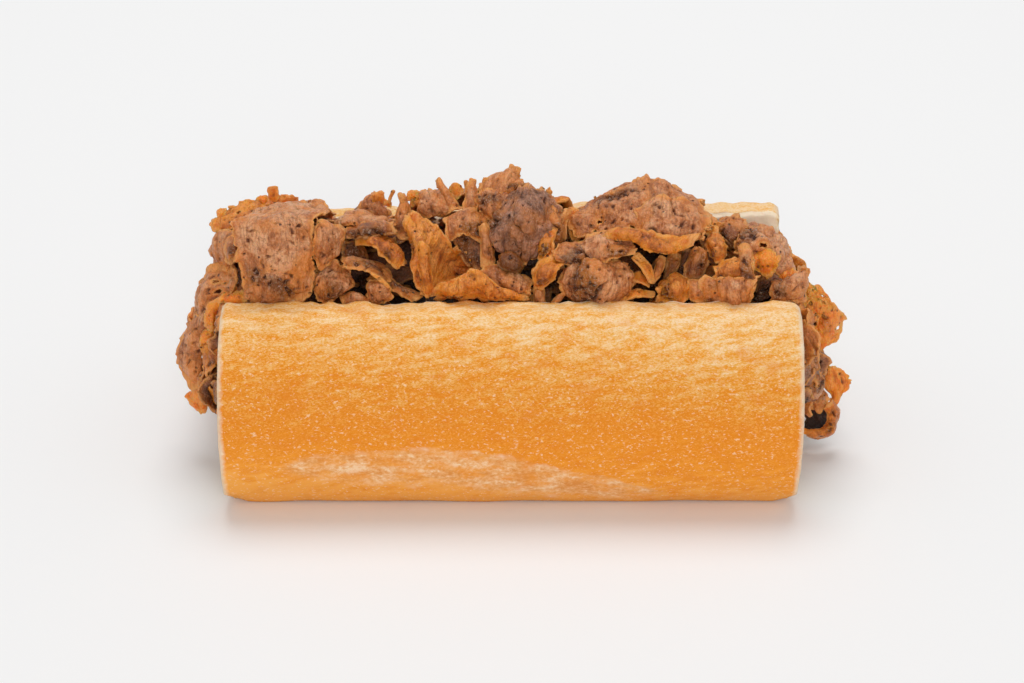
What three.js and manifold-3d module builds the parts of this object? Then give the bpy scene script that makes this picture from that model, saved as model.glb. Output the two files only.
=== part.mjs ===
// A short submarine sandwich: a section of crusty white roll, opened like a trough
// along its top, and filled with a heap of thin shaved, folded slices of meat that
// spill over both cut ends. Millimetres, +X along the roll, +Z up, floor at Z = 0.
import * as THREE from 'three';
import { mergeVertices } from 'three/addons/utils/BufferGeometryUtils.js';
import Module from 'manifold-3d';

const wasm = await Module();
wasm.setup();

// Roll: two round lobes on a flat base, open at the top
const rollLength = 152;
const lobeOffset = 14.1;
const lobeHeight = 21.7;
const crustRadius = 35.4;
const crumbRadius = 24.4;
const lipHeight = 51.8;
const mouthHalf = 25.5;
const lipRounding = 2.2;
const floorThickness = 9;
const rollSteps = 9;
const rollArcDivisions = 5;
const rollWave = 0.5;
const backRiseLeft = 1.3;
const backRiseRight = 3;
const backRiseFrom = -60;
const backRiseTo = 15;

// Heap: the packed meat inside the roll, out to its uneven outline
const heapLength = 171;
const heapCentreHeight = 34;
const heapGap = 0.6;
const heapReach = 60;
const heapRings = 26;
const heapStations = 18;
const heapUnevenness = 1;
const shoulderHeight = 48;
const crestHalf = 18;
const crestCentre = 5;
const crestLine = [[-90, 44], [-74, 57], [-66, 61], [-56, 60], [-46, 54], [-38, 57], [-28, 60],
  [-16, 64], [-2, 68], [6, 66], [15, 57], [26, 63], [36, 66], [46, 61], [54, 55], [66, 51], [90, 40]];

// Slices: thin sheets of shaved meat, each bent along two lines
const sliceThickness = 2.2;
const clearance = 0.35;
const cellLength = 6;
const cellBend = 32;
const fewestCells = 3;
const bendSteps = 160;

const crust = { color: 0xe39a45, roughness: 0.7 };
const brownMeat = { color: 0xa9683f, roughness: 0.5 };
const darkMeat = { color: 0x8a5638, roughness: 0.45 };
const crispMeat = { color: 0xcf7a2e, roughness: 0.45 };

// Each slice has a place, the way it faces [turn, lean, spin] in degrees, and two bend
// lines of [length, bend in degrees] across and up. Round 0 is square and 1 a disc,
// taper narrows the top and skew pushes it sideways. The right way to read a place is
// from the front: -Y is towards the viewer.
const slices = [
  { name: 'slice_left_block', place: [-62.3, -13, 60.8], faces: [0, 40, 2], meat: brownMeat,
    across: [[24, -30]], up: [[20, -10], [5, -60], [12, 0]], round: 0.3 },
  { name: 'slice_left_back', place: [-70, 6, 60.5], faces: [-10, 30, 10], meat: crispMeat,
    across: [[27, -50]], up: [[16, -30]], round: 0.5 },
  { name: 'slice_left_curl', place: [-48.6, -16, 64.8], faces: [20, 25, 0], meat: brownMeat,
    across: [[6, -30], [10, -150]], up: [[15, -20]], round: 0.5 },
  { name: 'slice_left_lump', place: [-77.5, -8, 59.7], faces: [-35, 20, 0], meat: darkMeat,
    across: [[11, -130]], up: [[12, -110]], round: 0.9 },
  { name: 'slice_left_hanging', place: [-83.9, -12, 38.4], faces: [-25, 0, -13], meat: brownMeat,
    across: [[19, -50]], up: [[34, -30]], round: 0.5 },
  { name: 'slice_left_ribbon', place: [-80.9, -20.5, 41.7], faces: [-20, 0, 5], meat: crispMeat,
    across: [[5, -90]], up: [[16, 60]], round: 0.5 },
  { name: 'slice_left_crumb', place: [-85.8, -12, 15.7], faces: [-20, 0, 0], meat: crispMeat,
    across: [[9, -140]], up: [[9, -120]], round: 0.9 },
  { name: 'slice_ridge', place: [-39.7, 0, 63.3], faces: [0, 50, 0], meat: brownMeat,
    across: [[18, -30]], up: [[9, -60]], round: 0.5 },
  { name: 'slice_triangle', place: [-36.6, 6, 66.5], faces: [0, 20, 0], meat: brownMeat,
    across: [[10, -60]], up: [[9, -30]], round: 0.4, taper: 0.5 },
  { name: 'slice_blade', place: [-29.3, -4, 65.4], faces: [50, 15, -5], meat: brownMeat,
    across: [[7, -50]], up: [[15, -20]], round: 0.6, taper: 0.3 },
  { name: 'slice_cup', place: [-34.7, -15, 62], faces: [0, 20, -28], meat: crispMeat,
    across: [[16, -50]], up: [[7, 0], [6, 130]], round: 0.5 },
  { name: 'slice_low_lump', place: [-46.3, -20, 55], faces: [0, 15, 0], meat: brownMeat,
    across: [[12, -90]], up: [[12, -80]], round: 0.7 },
  { name: 'slice_fibrous', place: [-34.4, -21, 53.4], faces: [0, 10, 0], meat: brownMeat,
    across: [[8, -80]], up: [[10, -60]], round: 0.6 },
  { name: 'slice_fold', place: [-14.7, -18, 61], faces: [0, 22, 0], meat: crispMeat,
    across: [[8, -40], [24, 30]], up: [[7, -70], [18, -10]], round: 0.2, taper: 0.7, skew: -0.35 },
  { name: 'slice_round_brown', place: [-20.8, 4, 67.8], faces: [0, 20, 0], meat: brownMeat,
    across: [[11, -90]], up: [[10, -70]], round: 0.8 },
  { name: 'slice_forked', place: [-11.7, -8, 65.5], faces: [0, 30, 5], meat: brownMeat,
    across: [[14, -40]], up: [[13, -30]], round: 0.4, taper: -0.2 },
  { name: 'slice_pitted', place: [-8.8, -13, 60.4], faces: [0, 20, 0], meat: darkMeat,
    across: [[10, -50]], up: [[11, -40]], round: 0.6 },
  { name: 'slice_pale', place: [-6.4, 0, 69.7], faces: [0, 25, 8], meat: brownMeat,
    across: [[15, -40]], up: [[13, -40]], round: 0.5 },
  { name: 'slice_peak', place: [-0.2, 6, 74], faces: [0, 15, 0], meat: brownMeat,
    across: [[10, -50]], up: [[9, -30]], round: 0.5, taper: 0.5 },
  { name: 'slice_dark_disc', place: [4.3, -4, 64.3], faces: [5, 25, 0], meat: darkMeat,
    across: [[19, -50]], up: [[24, -40]], round: 0.8 },
  { name: 'slice_tube', place: [-2.1, -20, 55.3], faces: [0, 25, -17], meat: brownMeat,
    across: [[16, -30]], up: [[13, -230]], round: 0.4 },
  { name: 'slice_hood', place: [9.8, -20.5, 58.1], faces: [0, 15, 8], meat: crispMeat,
    across: [[10, -60]], up: [[6, 0], [5, 110]], round: 0.5 },
  { name: 'slice_big_disc', place: [35.5, 4, 60.6], faces: [0, 42, -3], meat: brownMeat,
    across: [[41, -60]], up: [[25, -50]], round: 0.9 },
  { name: 'slice_rim_band', place: [37.6, -11, 63.8], faces: [0, 25, -5], meat: crispMeat,
    across: [[30, -30]], up: [[5, 0], [6, 130]], round: 0.3 },
  { name: 'slice_shelf', place: [21.6, -13, 60.8], faces: [-5, 45, 6], meat: brownMeat,
    across: [[24, -30]], up: [[12, -40]], round: 0.5 },
  { name: 'slice_middle_disc', place: [23.6, -20, 56.4], faces: [0, 18, 0], meat: brownMeat,
    across: [[22, -80]], up: [[17, -50]], round: 0.8 },
  { name: 'slice_lobe', place: [48.5, -18, 58.7], faces: [10, 20, 0], meat: brownMeat,
    across: [[7, -90]], up: [[9, -60]], round: 0.7 },
  { name: 'slice_knob', place: [54.5, -13, 62.6], faces: [0, 30, 0], meat: brownMeat,
    across: [[8, -140]], up: [[8, -90]], round: 0.8 },
  { name: 'slice_right_upper', place: [69.6, -4, 56.7], faces: [20, 40, -26], meat: brownMeat,
    across: [[17, -60]], up: [[16, -40]], round: 0.6 },
  { name: 'slice_right_pink', place: [58.6, 3, 60.4], faces: [0, 35, 0], meat: brownMeat,
    across: [[8, -60]], up: [[8, -40]], round: 0.6 },
  { name: 'slice_right_lip', place: [57.9, -21, 56.3], faces: [0, 15, 0], meat: brownMeat,
    across: [[16, -40]], up: [[12, -10], [5, 60]], round: 0.4 },
  { name: 'slice_frilly', place: [44.6, -21, 53.4], faces: [0, 20, 0], meat: brownMeat,
    across: [[13, -60]], up: [[9, -60]], round: 0.5 },
  { name: 'slice_right_orange', place: [67.6, -13, 55.9], faces: [5, 25, 0], meat: crispMeat,
    across: [[7, -40]], up: [[7, -30]], round: 0.5 },
  { name: 'slice_right_folds', place: [73, -18.5, 53], faces: [15, 20, 0], meat: brownMeat,
    across: [[12, -60]], up: [[12, -60]], round: 0.5 },
  { name: 'slice_lacy', place: [83.7, -14, 39.7], faces: [15, 10, 0], meat: crispMeat,
    across: [[11, -60]], up: [[16, -60]], round: 0.9 },
  { name: 'slice_right_hanging', place: [82.4, -12, 24.1], faces: [25, 0, 0], meat: brownMeat,
    across: [[11, -60]], up: [[15, -20]], round: 0.5 },
  { name: 'slice_right_crisp', place: [89.1, -12, 21], faces: [10, 5, 0], meat: crispMeat,
    across: [[10, -110]], up: [[11, -90]], round: 0.9 },
  { name: 'slice_hook', place: [85.1, -14, 11.5], faces: [15, 0, 0], meat: darkMeat,
    across: [[13, -110]], up: [[14, -120]], round: 0.8 },
  { name: 'slice_rear_left', place: [-46, 13.5, 54], faces: [175, 58, 0], meat: brownMeat,
    across: [[28, -60]], up: [[19, -50]], round: 0.8 },
  { name: 'slice_rear_middle', place: [-8, 14, 57.5], faces: [182, 45, -8], meat: brownMeat,
    across: [[26, -50]], up: [[20, -50]], round: 0.6 },
  { name: 'slice_rear_right', place: [27, 15, 54], faces: [176, 50, 8], meat: darkMeat,
    across: [[23, -60]], up: [[17, -50]], round: 0.7 },
  { name: 'slice_rear_low', place: [55, 13.5, 51.5], faces: [170, 60, -5], meat: brownMeat,
    across: [[24, -60]], up: [[16, -50]], round: 0.6 },
  { name: 'slice_end_left', place: [-82, 12, 36], faces: [-85, 5, 6], meat: brownMeat,
    across: [[22, -50]], up: [[28, -40]], round: 0.7 },
  { name: 'slice_end_right', place: [81, 13, 32], faces: [88, 8, -8], meat: brownMeat,
    across: [[22, -50]], up: [[24, -40]], round: 0.7 },
];

const radians = THREE.MathUtils.degToRad;

// Slow waves that keep cut and baked edges from being straight
function wave(a, b) {
  return Math.sin(a * 0.11 + 1.3) * Math.cos(b * 0.13) + 0.5 * Math.sin(a * 0.29 + b * 0.17);
}

// A closed three.js geometry with shared vertices becomes a solid
function solidOf(geometry) {
  geometry.deleteAttribute('normal');
  geometry.deleteAttribute('uv');
  const merged = mergeVertices(geometry, 1e-4);
  return new wasm.Manifold(new wasm.Mesh({
    numProp: 3,
    vertProperties: new Float32Array(merged.attributes.position.array),
    triVerts: new Uint32Array(merged.index.array),
  }));
}

// What a cut leaves is kept as its largest body
function largestOf(solid) {
  const bodies = solid.decompose();
  return bodies.reduce((best, body) => (body.volume() > best.volume() ? body : best));
}

function meshOf(name, solid, look) {
  const mesh = solid.getMesh();
  const geometry = new THREE.BufferGeometry();
  geometry.setAttribute('position', new THREE.Float32BufferAttribute(mesh.vertProperties, 3));
  geometry.setIndex(new THREE.BufferAttribute(mesh.triVerts, 1));
  geometry.computeVertexNormals();
  const result = new THREE.Mesh(geometry, new THREE.MeshStandardMaterial(look));
  result.name = name;
  return result;
}

// Half of the roll's section is drawn as arcs on one lobe; side is -1 at the front
function lobeOutline(shape, side, grow) {
  const outer = crustRadius + grow;
  const inner = crumbRadius - grow;
  const baseAngle = Math.asin((lobeHeight + grow) / outer);
  const topAngle = Math.asin((lipHeight + grow - lobeHeight) / outer);
  const neckAngle = Math.acos((mouthHalf - grow - lobeOffset) / inner);
  const floorAngle = Math.asin((lobeHeight - floorThickness - grow) / inner);
  const lip = mouthHalf - grow;
  const top = lipHeight + grow;
  if (side < 0) {
    shape.absarc(-lobeOffset, lobeHeight, outer, Math.PI + baseAngle, Math.PI - topAngle, true);
    shape.lineTo(-lip - lipRounding, top);
    shape.quadraticCurveTo(-lip, top, -lip, top - lipRounding);
    shape.absarc(-lobeOffset, lobeHeight, inner, Math.PI - neckAngle, Math.PI + floorAngle, false);
    return;
  }
  shape.absarc(lobeOffset, lobeHeight, inner, -floorAngle, neckAngle, false);
  shape.lineTo(lip, top - lipRounding);
  shape.quadraticCurveTo(lip, top, lip + lipRounding, top);
  shape.absarc(lobeOffset, lobeHeight, outer, topAngle, -baseAngle, true);
}

// The back wall stands a little higher than the front one, and most at the right
function backRise(x, y, z) {
  if (y < 0) return 0;
  const share = THREE.MathUtils.smoothstep(x, backRiseFrom, backRiseTo);
  const rise = THREE.MathUtils.lerp(backRiseLeft, backRiseRight, share);
  return rise * THREE.MathUtils.smoothstep(z, lobeHeight, lipHeight);
}

function rollSolid(grow) {
  const shape = new THREE.Shape();
  lobeOutline(shape, -1, grow);
  lobeOutline(shape, 1, grow);
  const length = rollLength + 2 * grow;
  const geometry = new THREE.ExtrudeGeometry(shape, {
    depth: length, steps: rollSteps, curveSegments: rollArcDivisions, bevelEnabled: false,
  });
  const position = geometry.attributes.position;
  for (let i = 0; i < position.count; i += 1) {
    const x = position.getZ(i) - length / 2;
    const y = position.getX(i);
    const z = position.getY(i);
    const lift = rollWave * wave(x, 0) * Math.max(z, 0) / lipHeight;
    const bulge = rollWave * wave(x, 40) * Math.sign(y) * Math.max(z, 0) / lipHeight;
    position.setXYZ(i, x, y + bulge, z + lift + backRise(x, y, z));
  }
  return solidOf(geometry);
}

// A height read off the crest line, smooth between its points
function crestAt(x) {
  const last = crestLine.length - 1;
  const next = Math.min(Math.max(crestLine.findIndex((point) => point[0] > x), 1), last);
  const [x0, z0] = crestLine[next - 1];
  const [x1, z1] = crestLine[next];
  return z0 + (z1 - z0) * THREE.MathUtils.smoothstep(x, x0, x1);
}

// Whether a point of the section lies in the packed meat
function inHeap(x, y, z) {
  const width = Math.abs(y);
  const neck = lobeHeight + crumbRadius * Math.sin(Math.acos((mouthHalf - lobeOffset) / crumbRadius));
  if (z < floorThickness + heapGap) return false;
  if (z > neck) {
    if (width >= mouthHalf - heapGap) return false;
    if (z < shoulderHeight) return true;
    const rise = crestAt(x) - shoulderHeight + heapUnevenness * wave(3 * x, 3 * y);
    const away = Math.abs(y - crestCentre) / crestHalf;
    return away < 1 && z < shoulderHeight + rise * (1 - away ** 2);
  }
  const past = Math.max(width - lobeOffset, 0);
  return Math.hypot(past, z - lobeHeight) < crumbRadius - heapGap;
}

function heapRadius(x, angle) {
  let near = 0;
  let far = heapReach;
  for (let step = 0; step < 18; step += 1) {
    const middle = (near + far) / 2;
    const inside = inHeap(x, middle * Math.cos(angle), heapCentreHeight + middle * Math.sin(angle));
    if (inside) near = middle;
    else far = middle;
  }
  return near;
}

function heapSolid() {
  const geometry = new THREE.SphereGeometry(1, heapRings, heapStations);
  const position = geometry.attributes.position;
  const point = new THREE.Vector3();
  const half = heapLength / 2;
  for (let i = 0; i < position.count; i += 1) {
    point.fromBufferAttribute(position, i);
    const x = half * (1 - 2 * Math.acos(THREE.MathUtils.clamp(point.y, -1, 1)) / Math.PI);
    const angle = Math.atan2(point.z, -point.x);
    const past = Math.max(Math.abs(x) - rollLength / 2 + 2, 0) / (half - rollLength / 2 + 2);
    const shrink = Math.sqrt(Math.max(1 - past * past, 0)) * (1 - 0.06 * past * wave(40 * angle, x));
    const radius = heapRadius(x, angle) * shrink;
    position.setXYZ(i, x, radius * Math.cos(angle), heapCentreHeight + radius * Math.sin(angle));
  }
  return solidOf(geometry);
}

// A bend line turns [length, bend] stretches into a curve, level on average
function bendLine(stretches) {
  const total = stretches.reduce((sum, stretch) => sum + stretch[0], 0);
  const step = total / bendSteps;
  const angles = [];
  let angle = 0;
  for (let i = 0; i < bendSteps; i += 1) {
    let left = (i + 0.5) * step;
    const stretch = stretches.find(([length]) => {
      left -= length;
      return left <= 0;
    }) ?? stretches[stretches.length - 1];
    angle += radians(stretch[1]) * step / stretch[0];
    angles.push(angle);
  }
  const level = angles.reduce((sum, value) => sum + value, 0) / bendSteps;
  const points = [new THREE.Vector2(0, 0)];
  angles.forEach((value) => {
    const previous = points[points.length - 1];
    points.push(new THREE.Vector2(
      previous.x + step * Math.cos(value - level),
      previous.y + step * Math.sin(value - level),
    ));
  });
  const middle = points[bendSteps / 2].x;
  const depth = points.reduce((sum, point) => sum + point.y, 0) / points.length;
  return (fraction) => {
    const reach = (fraction + 1) / 2 * bendSteps;
    const from = THREE.MathUtils.clamp(Math.floor(reach), 0, bendSteps - 1);
    const along = points[from + 1].clone().sub(points[from]);
    const point = points[from].clone().addScaledVector(along, reach - from);
    return new THREE.Vector2(point.x - middle, point.y - depth);
  };
}

// The three directions of a slice: across it, up it and out of its face
function directionsOf([turn, lean, spin]) {
  const out = new THREE.Vector3(
    Math.sin(radians(turn)) * Math.cos(radians(lean)),
    -Math.cos(radians(turn)) * Math.cos(radians(lean)),
    Math.sin(radians(lean)),
  );
  const across = new THREE.Vector3(Math.cos(radians(turn)), Math.sin(radians(turn)), 0);
  across.applyAxisAngle(out, radians(spin));
  return { across, up: out.clone().cross(across), out };
}

// A point of the bent sheet; only its rim moves out, by a share, when a slice is grown
function slicePoint(slice, lines, directions, s, t, share = 0) {
  const { round = 0.5, taper = 0, skew = 0 } = slice;
  const side = s * Math.sqrt(1 - round * t * t / 2) * (1 - taper * (t + 1) / 2) + skew * t;
  const rise = t * Math.sqrt(1 - round * s * s / 2);
  const across = lines.across(side * (Math.abs(s) === 1 ? 1 + share : 1));
  const up = lines.up(rise * (Math.abs(t) === 1 ? 1 + share : 1));
  return new THREE.Vector3(...slice.place)
    .addScaledVector(directions.across, across.x)
    .addScaledVector(directions.up, up.x)
    .addScaledVector(directions.out, across.y + up.y);
}

// Long and strongly bent stretches need more cells
function cellsOf(stretches) {
  const length = stretches.reduce((sum, stretch) => sum + stretch[0], 0);
  const bend = stretches.reduce((sum, stretch) => sum + Math.abs(stretch[1]), 0);
  return Math.max(fewestCells, Math.ceil(length / cellLength), Math.ceil(bend / cellBend));
}

// A slice is a flat box of many cells, bent along its two lines
function sliceSolid(slice, grow) {
  const geometry = new THREE.BoxGeometry(2, 2, 2, cellsOf(slice.across), cellsOf(slice.up), 1);
  const lines = { across: bendLine(slice.across), up: bendLine(slice.up) };
  const directions = directionsOf(slice.faces);
  const span = slice.across.reduce((sum, stretch) => sum + stretch[0], 0) / 2;
  const half = sliceThickness / 2 + grow;
  const position = geometry.attributes.position;
  const nudge = 0.01;
  for (let i = 0; i < position.count; i += 1) {
    const s = position.getX(i);
    const t = position.getY(i);
    const point = slicePoint(slice, lines, directions, s, t, grow / span);
    const alongS = slicePoint(slice, lines, directions, s + nudge, t)
      .sub(slicePoint(slice, lines, directions, s - nudge, t));
    const alongT = slicePoint(slice, lines, directions, s, t + nudge)
      .sub(slicePoint(slice, lines, directions, s, t - nudge));
    point.addScaledVector(alongS.cross(alongT).normalize(), half * position.getZ(i));
    position.setXYZ(i, point.x, point.y, point.z);
  }
  return solidOf(geometry);
}

const sandwich = new THREE.Group();
sandwich.add(meshOf('roll', rollSolid(0), crust));

let taken = rollSolid(clearance);
slices.forEach((slice) => {
  const trimmed = largestOf(sliceSolid(slice, 0).subtract(taken));
  sandwich.add(meshOf(slice.name, trimmed, slice.meat));
  taken = taken.add(sliceSolid(slice, clearance));
});
sandwich.add(meshOf('meat_heap', largestOf(heapSolid().subtract(taken)), brownMeat));

export default sandwich;
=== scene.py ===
# %% [markdown]
# # A short submarine sandwich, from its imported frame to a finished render
# The real thing is a length of crusty white roll, split along its top and heaped with
# thin shaved, folded slices of cooked meat. The frame gives every piece its place and
# size. This lesson gives each one its true surface, in metres, in the frame's own axes.

# %% Load the frame
import math
import random
from functools import partial

import bmesh
import bpy
from mathutils import Matrix, Vector, noise
from mathutils.bvhtree import BVHTree


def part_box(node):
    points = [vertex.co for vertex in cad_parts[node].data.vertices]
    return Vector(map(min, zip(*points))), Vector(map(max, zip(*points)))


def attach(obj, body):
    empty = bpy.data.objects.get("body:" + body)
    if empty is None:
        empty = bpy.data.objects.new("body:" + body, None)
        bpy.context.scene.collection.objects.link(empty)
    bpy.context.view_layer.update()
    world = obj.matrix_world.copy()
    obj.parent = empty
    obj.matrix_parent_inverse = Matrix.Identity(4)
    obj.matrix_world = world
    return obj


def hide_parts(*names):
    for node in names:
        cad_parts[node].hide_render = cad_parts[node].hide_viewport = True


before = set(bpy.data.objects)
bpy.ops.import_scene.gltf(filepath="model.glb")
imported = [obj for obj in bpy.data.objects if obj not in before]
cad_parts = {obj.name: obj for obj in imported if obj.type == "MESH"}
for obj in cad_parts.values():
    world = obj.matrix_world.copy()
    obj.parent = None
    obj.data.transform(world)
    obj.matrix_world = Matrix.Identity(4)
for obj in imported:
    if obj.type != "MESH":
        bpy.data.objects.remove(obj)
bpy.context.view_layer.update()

MM = 0.001
# the noise module starts from the clock unless it is given a seed
NOISE_SEED = 2
noise.seed_set(NOISE_SEED)
roll_low, roll_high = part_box("roll")
print("roll, mm", [round(v / MM, 1) for v in roll_high - roll_low])

# %% [markdown]
# ## Colour and noise
# Colours are picked as sRGB hex, as a colour picker shows them, and turned to linear
# light by one function. All surface relief comes from smooth noise with fixed seeds.

# %% Colour and noise
def linear(hex_colour):
    """An sRGB hex colour as linear light."""
    parts = [int(hex_colour[i:i + 2], 16) / 255 for i in (0, 2, 4)]
    return [p / 12.92 if p <= 0.04045 else ((p + 0.055) / 1.055) ** 2.4 for p in parts] + [1.0]


def smooth(low, high, value):
    """Rises gently from 0 at low to 1 at high."""
    share = min(max((value - low) / (high - low), 0.0), 1.0)
    return share * share * (3 - 2 * share)


def bumps(point, size, seed=0.0):
    """Smooth noise from -1 to 1 whose lumps are about size across, both in mm."""
    return noise.noise(Vector(point) / size + Vector((seed, seed * 0.7, seed * 1.3)))


print("mid grey in linear light", round(linear("808080")[0], 3))
print("noise at one place", round(bumps((1, 2, 3), 5), 3))

# %% [markdown]
# ## Material nodes
# One function adds any node with its settings and links, so that a material reads from
# top to bottom as a list of what it is made of. Patterns lie on Object coordinates, and
# what a mesh remembers about its points comes in as an attribute.

# %% Functions for nodes
def node(tree, kind, links=None, inputs=None, **settings):
    """Any node, with its incoming links, its input values and its settings."""
    made = tree.nodes.new(kind)
    for name, value in settings.items():
        setattr(made, name, value)
    for name, value in (inputs or {}).items():
        made.inputs[name].default_value = value
    for name, source in (links or {}).items():
        tree.links.new(source, made.inputs[name])
    return made


def ramp(tree, source, stops):
    """Colours or plain values at places from 0 to 1, with even steps between them."""
    made = node(tree, "ShaderNodeValToRGB", {"Fac": source})
    elements = made.color_ramp.elements
    while len(elements) < len(stops):
        elements.new(0.5)
    for element, (place, colour) in zip(elements, stops):
        element.position = place
        element.color = linear(colour) if isinstance(colour, str) else (colour,) * 3 + (1,)
    return made.outputs["Color"]


def maths(tree, operation, first, second=None, third=None, clamp=False):
    """One sum on values or links."""
    made = node(tree, "ShaderNodeMath", operation=operation, use_clamp=clamp)
    for socket, value in zip(made.inputs, (first, second, third)):
        if value is None:
            continue
        if isinstance(value, (int, float)):
            socket.default_value = value
        else:
            tree.links.new(value, socket)
    return made.outputs[0]


def mix(tree, share, first, second):
    """The first colour, with a share of the second laid over it."""
    made = node(tree, "ShaderNodeMix", data_type="RGBA")
    sockets = (made.inputs[0], made.inputs[6], made.inputs[7])
    for socket, value in zip(sockets, (share, first, second)):
        if isinstance(value, str):
            socket.default_value = linear(value)
        elif not isinstance(value, (int, float)):
            tree.links.new(value, socket)
        elif socket.type == "RGBA":
            socket.default_value = (value,) * 3 + (1,)
        else:
            socket.default_value = value
    return made.outputs[2]


def scaled_place(tree, size_mm, stretch=(1, 1, 1)):
    """Object coordinates in steps of size_mm, drawn out by stretch."""
    place = node(tree, "ShaderNodeTexCoord").outputs["Object"]
    scale = [1 / (size_mm * MM * s) for s in stretch]
    return node(tree, "ShaderNodeMapping", {"Vector": place}, {"Scale": scale}).outputs["Vector"]


def noise_on(tree, place, detail=2.0, rough=0.5):
    """Soft noise on coordinates that are already to scale."""
    made = node(tree, "ShaderNodeTexNoise", {"Vector": place},
                {"Scale": 1.0, "Detail": detail, "Roughness": rough})
    return made.outputs["Fac"]


def pattern(tree, size_mm, detail=2.0, stretch=(1, 1, 1), rough=0.5):
    """Soft noise whose features are about size_mm across."""
    return noise_on(tree, scaled_place(tree, size_mm, stretch), detail, rough)


def attribute(tree, name, output="Fac"):
    """What the mesh remembers about each vertex."""
    return node(tree, "ShaderNodeAttribute", attribute_name=name).outputs[output]


def material(name):
    """A named material, its node tree and its surface shader."""
    made = bpy.data.materials.new(name)
    made.use_nodes = True
    made.node_tree.nodes.clear()
    out = node(made.node_tree, "ShaderNodeOutputMaterial")
    shader = node(made.node_tree, "ShaderNodeBsdfPrincipled")
    made.node_tree.links.new(shader.outputs[0], out.inputs["Surface"])
    return made, made.node_tree, shader


print("ready to mix materials, there are", len(bpy.data.materials), "so far")

# %% [markdown]
# ## Pieces
# Every finished piece rides on the one body, has a slot that says what it is made of,
# and hides the node of the frame that it takes the place of.

# %% Functions for pieces
def put_in_scene(name, data):
    """A new object for a mesh, camera or light."""
    thing = bpy.data.objects.new(name, data)
    bpy.context.collection.objects.link(thing)
    return thing


def piece_from(name, mesh_data, look, replaced=()):
    """A finished piece: smooth, with its material, riding on the one body."""
    thing = put_in_scene(name, mesh_data)
    mesh_data.materials.append(look)
    mesh_data.shade_smooth()
    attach(thing, "root")
    if replaced:
        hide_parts(*replaced)
    print(name, len(mesh_data.polygons), "faces")


# %% [markdown]
# ## Camera
# The picture was taken with a long lens from a little above the front, so the camera
# stands well back and looks down at the food.

# %% Camera
LENS_MM = 85
SENSOR_MM = 36
PITCH_DOWN = 26.5
CAMERA_PLACE = (0.0003, -0.6005, 0.3264)
camera_data = bpy.data.cameras.new("camera")
camera_data.lens = LENS_MM
camera_data.sensor_width = SENSOR_MM
camera = put_in_scene("camera", camera_data)
camera.location = CAMERA_PLACE
camera.rotation_euler = (math.radians(90 - PITCH_DOWN), 0, 0)
scene = bpy.context.scene
scene.camera = camera
scene.view_settings.view_transform = "Standard"
print("camera", LENS_MM, "mm,", PITCH_DOWN, "degrees down")

# %% [markdown]
# ## Table
# The food stands on a wide, nearly white table that runs out of the picture on every
# side. Like the lights and the camera it is only staging, not part of the food.

# %% The table
FLOOR_HALF = 4.0
floor_mesh = bpy.data.meshes.new("floor")
floor_bm = bmesh.new()
bmesh.ops.create_grid(floor_bm, x_segments=1, y_segments=1, size=FLOOR_HALF)
floor_bm.to_mesh(floor_mesh)
floor_bm.free()
floor = put_in_scene("floor", floor_mesh)
# painted board: nearly white and quite matt, so that only soft shadows show on it
paper, _, paper_shader = material("pale matt table")
paper_shader.inputs["Base Color"].default_value = linear("f1f1f1")
paper_shader.inputs["Roughness"].default_value = 0.9
paper_shader.inputs["Specular IOR Level"].default_value = 0.1
floor_mesh.materials.append(paper)
print("table, m", 2 * FLOOR_HALF)

# %% [markdown]
# ## Soft light
# Both lights are broad discs aimed at the food, so that no shadow has a hard edge. The
# overhead one stands a little behind, which lights the heap's top and leaves the wall
# in front to the fill.

# %% Two lights and a pale room
LIGHT_AIM = (0, 0, 0.03)
ROOM_STRENGTH = 0.48


def area_light(name, place, size, watts):
    """A round light, size in metres, that shines at the food."""
    data = bpy.data.lights.new(name, "AREA")
    data.shape = "DISK"
    data.size = size
    data.energy = watts
    lamp = put_in_scene(name, data)
    lamp.location = place
    lamp.rotation_euler = (Vector(LIGHT_AIM) - Vector(place)).to_track_quat("-Z", "Y").to_euler()
    print(name, watts, "W")


area_light("overhead softbox", (0.0, 0.62, 1.85), size=1.2, watts=18.5)
area_light("low front fill", (0.1, -1.85, 0.85), size=0.9, watts=12.5)
world = bpy.data.worlds.new("pale room")
world.use_nodes = True
room = world.node_tree.nodes["Background"].inputs
room["Color"].default_value = linear("ffffff")
room["Strength"].default_value = ROOM_STRENGTH
scene.world = world

# %% [markdown]
# ## The roll's shape
# A baked crust is a thin skin over crumb, so the roll is modelled as a thick wall bent
# round the filling: two round lobes joined by a floor. The near half of its section is
# two lines, one for the skin and one for the inside, each from the lip to the middle.

# %% The two lines of the wall's section
LOBE_OFFSET = 14.1
LOBE_HEIGHT = 21.7
CRUST_RADIUS = 35.4
CRUMB_RADIUS = 24.4
LIP_HEIGHT = 51.8
MOUTH_HALF = 25.5
LIP_ROUNDING = 2.2
FLOOR_THICKNESS = 9.0
BACK_RISE_LEFT = 1.3
BACK_RISE_RIGHT = 3.0
LIP_SHARE = 0.08
ARC_SHARE = 0.6
half_length = (roll_high.x - roll_low.x) / 2 / MM


def lobe_point(radius, angle):
    """A point on the near lobe's round, as (distance back, height) in mm."""
    return Vector((-LOBE_OFFSET - radius * math.cos(angle), LOBE_HEIGHT + radius * math.sin(angle)))


def along(stretches, share):
    """The point at a share of a chain of stretches, each (share where it ends, function)."""
    start = 0.0
    for end, place in stretches:
        if share <= end or end == stretches[-1][0]:
            return place(min((share - start) / (end - start), 1.0))
        start = end


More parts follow.
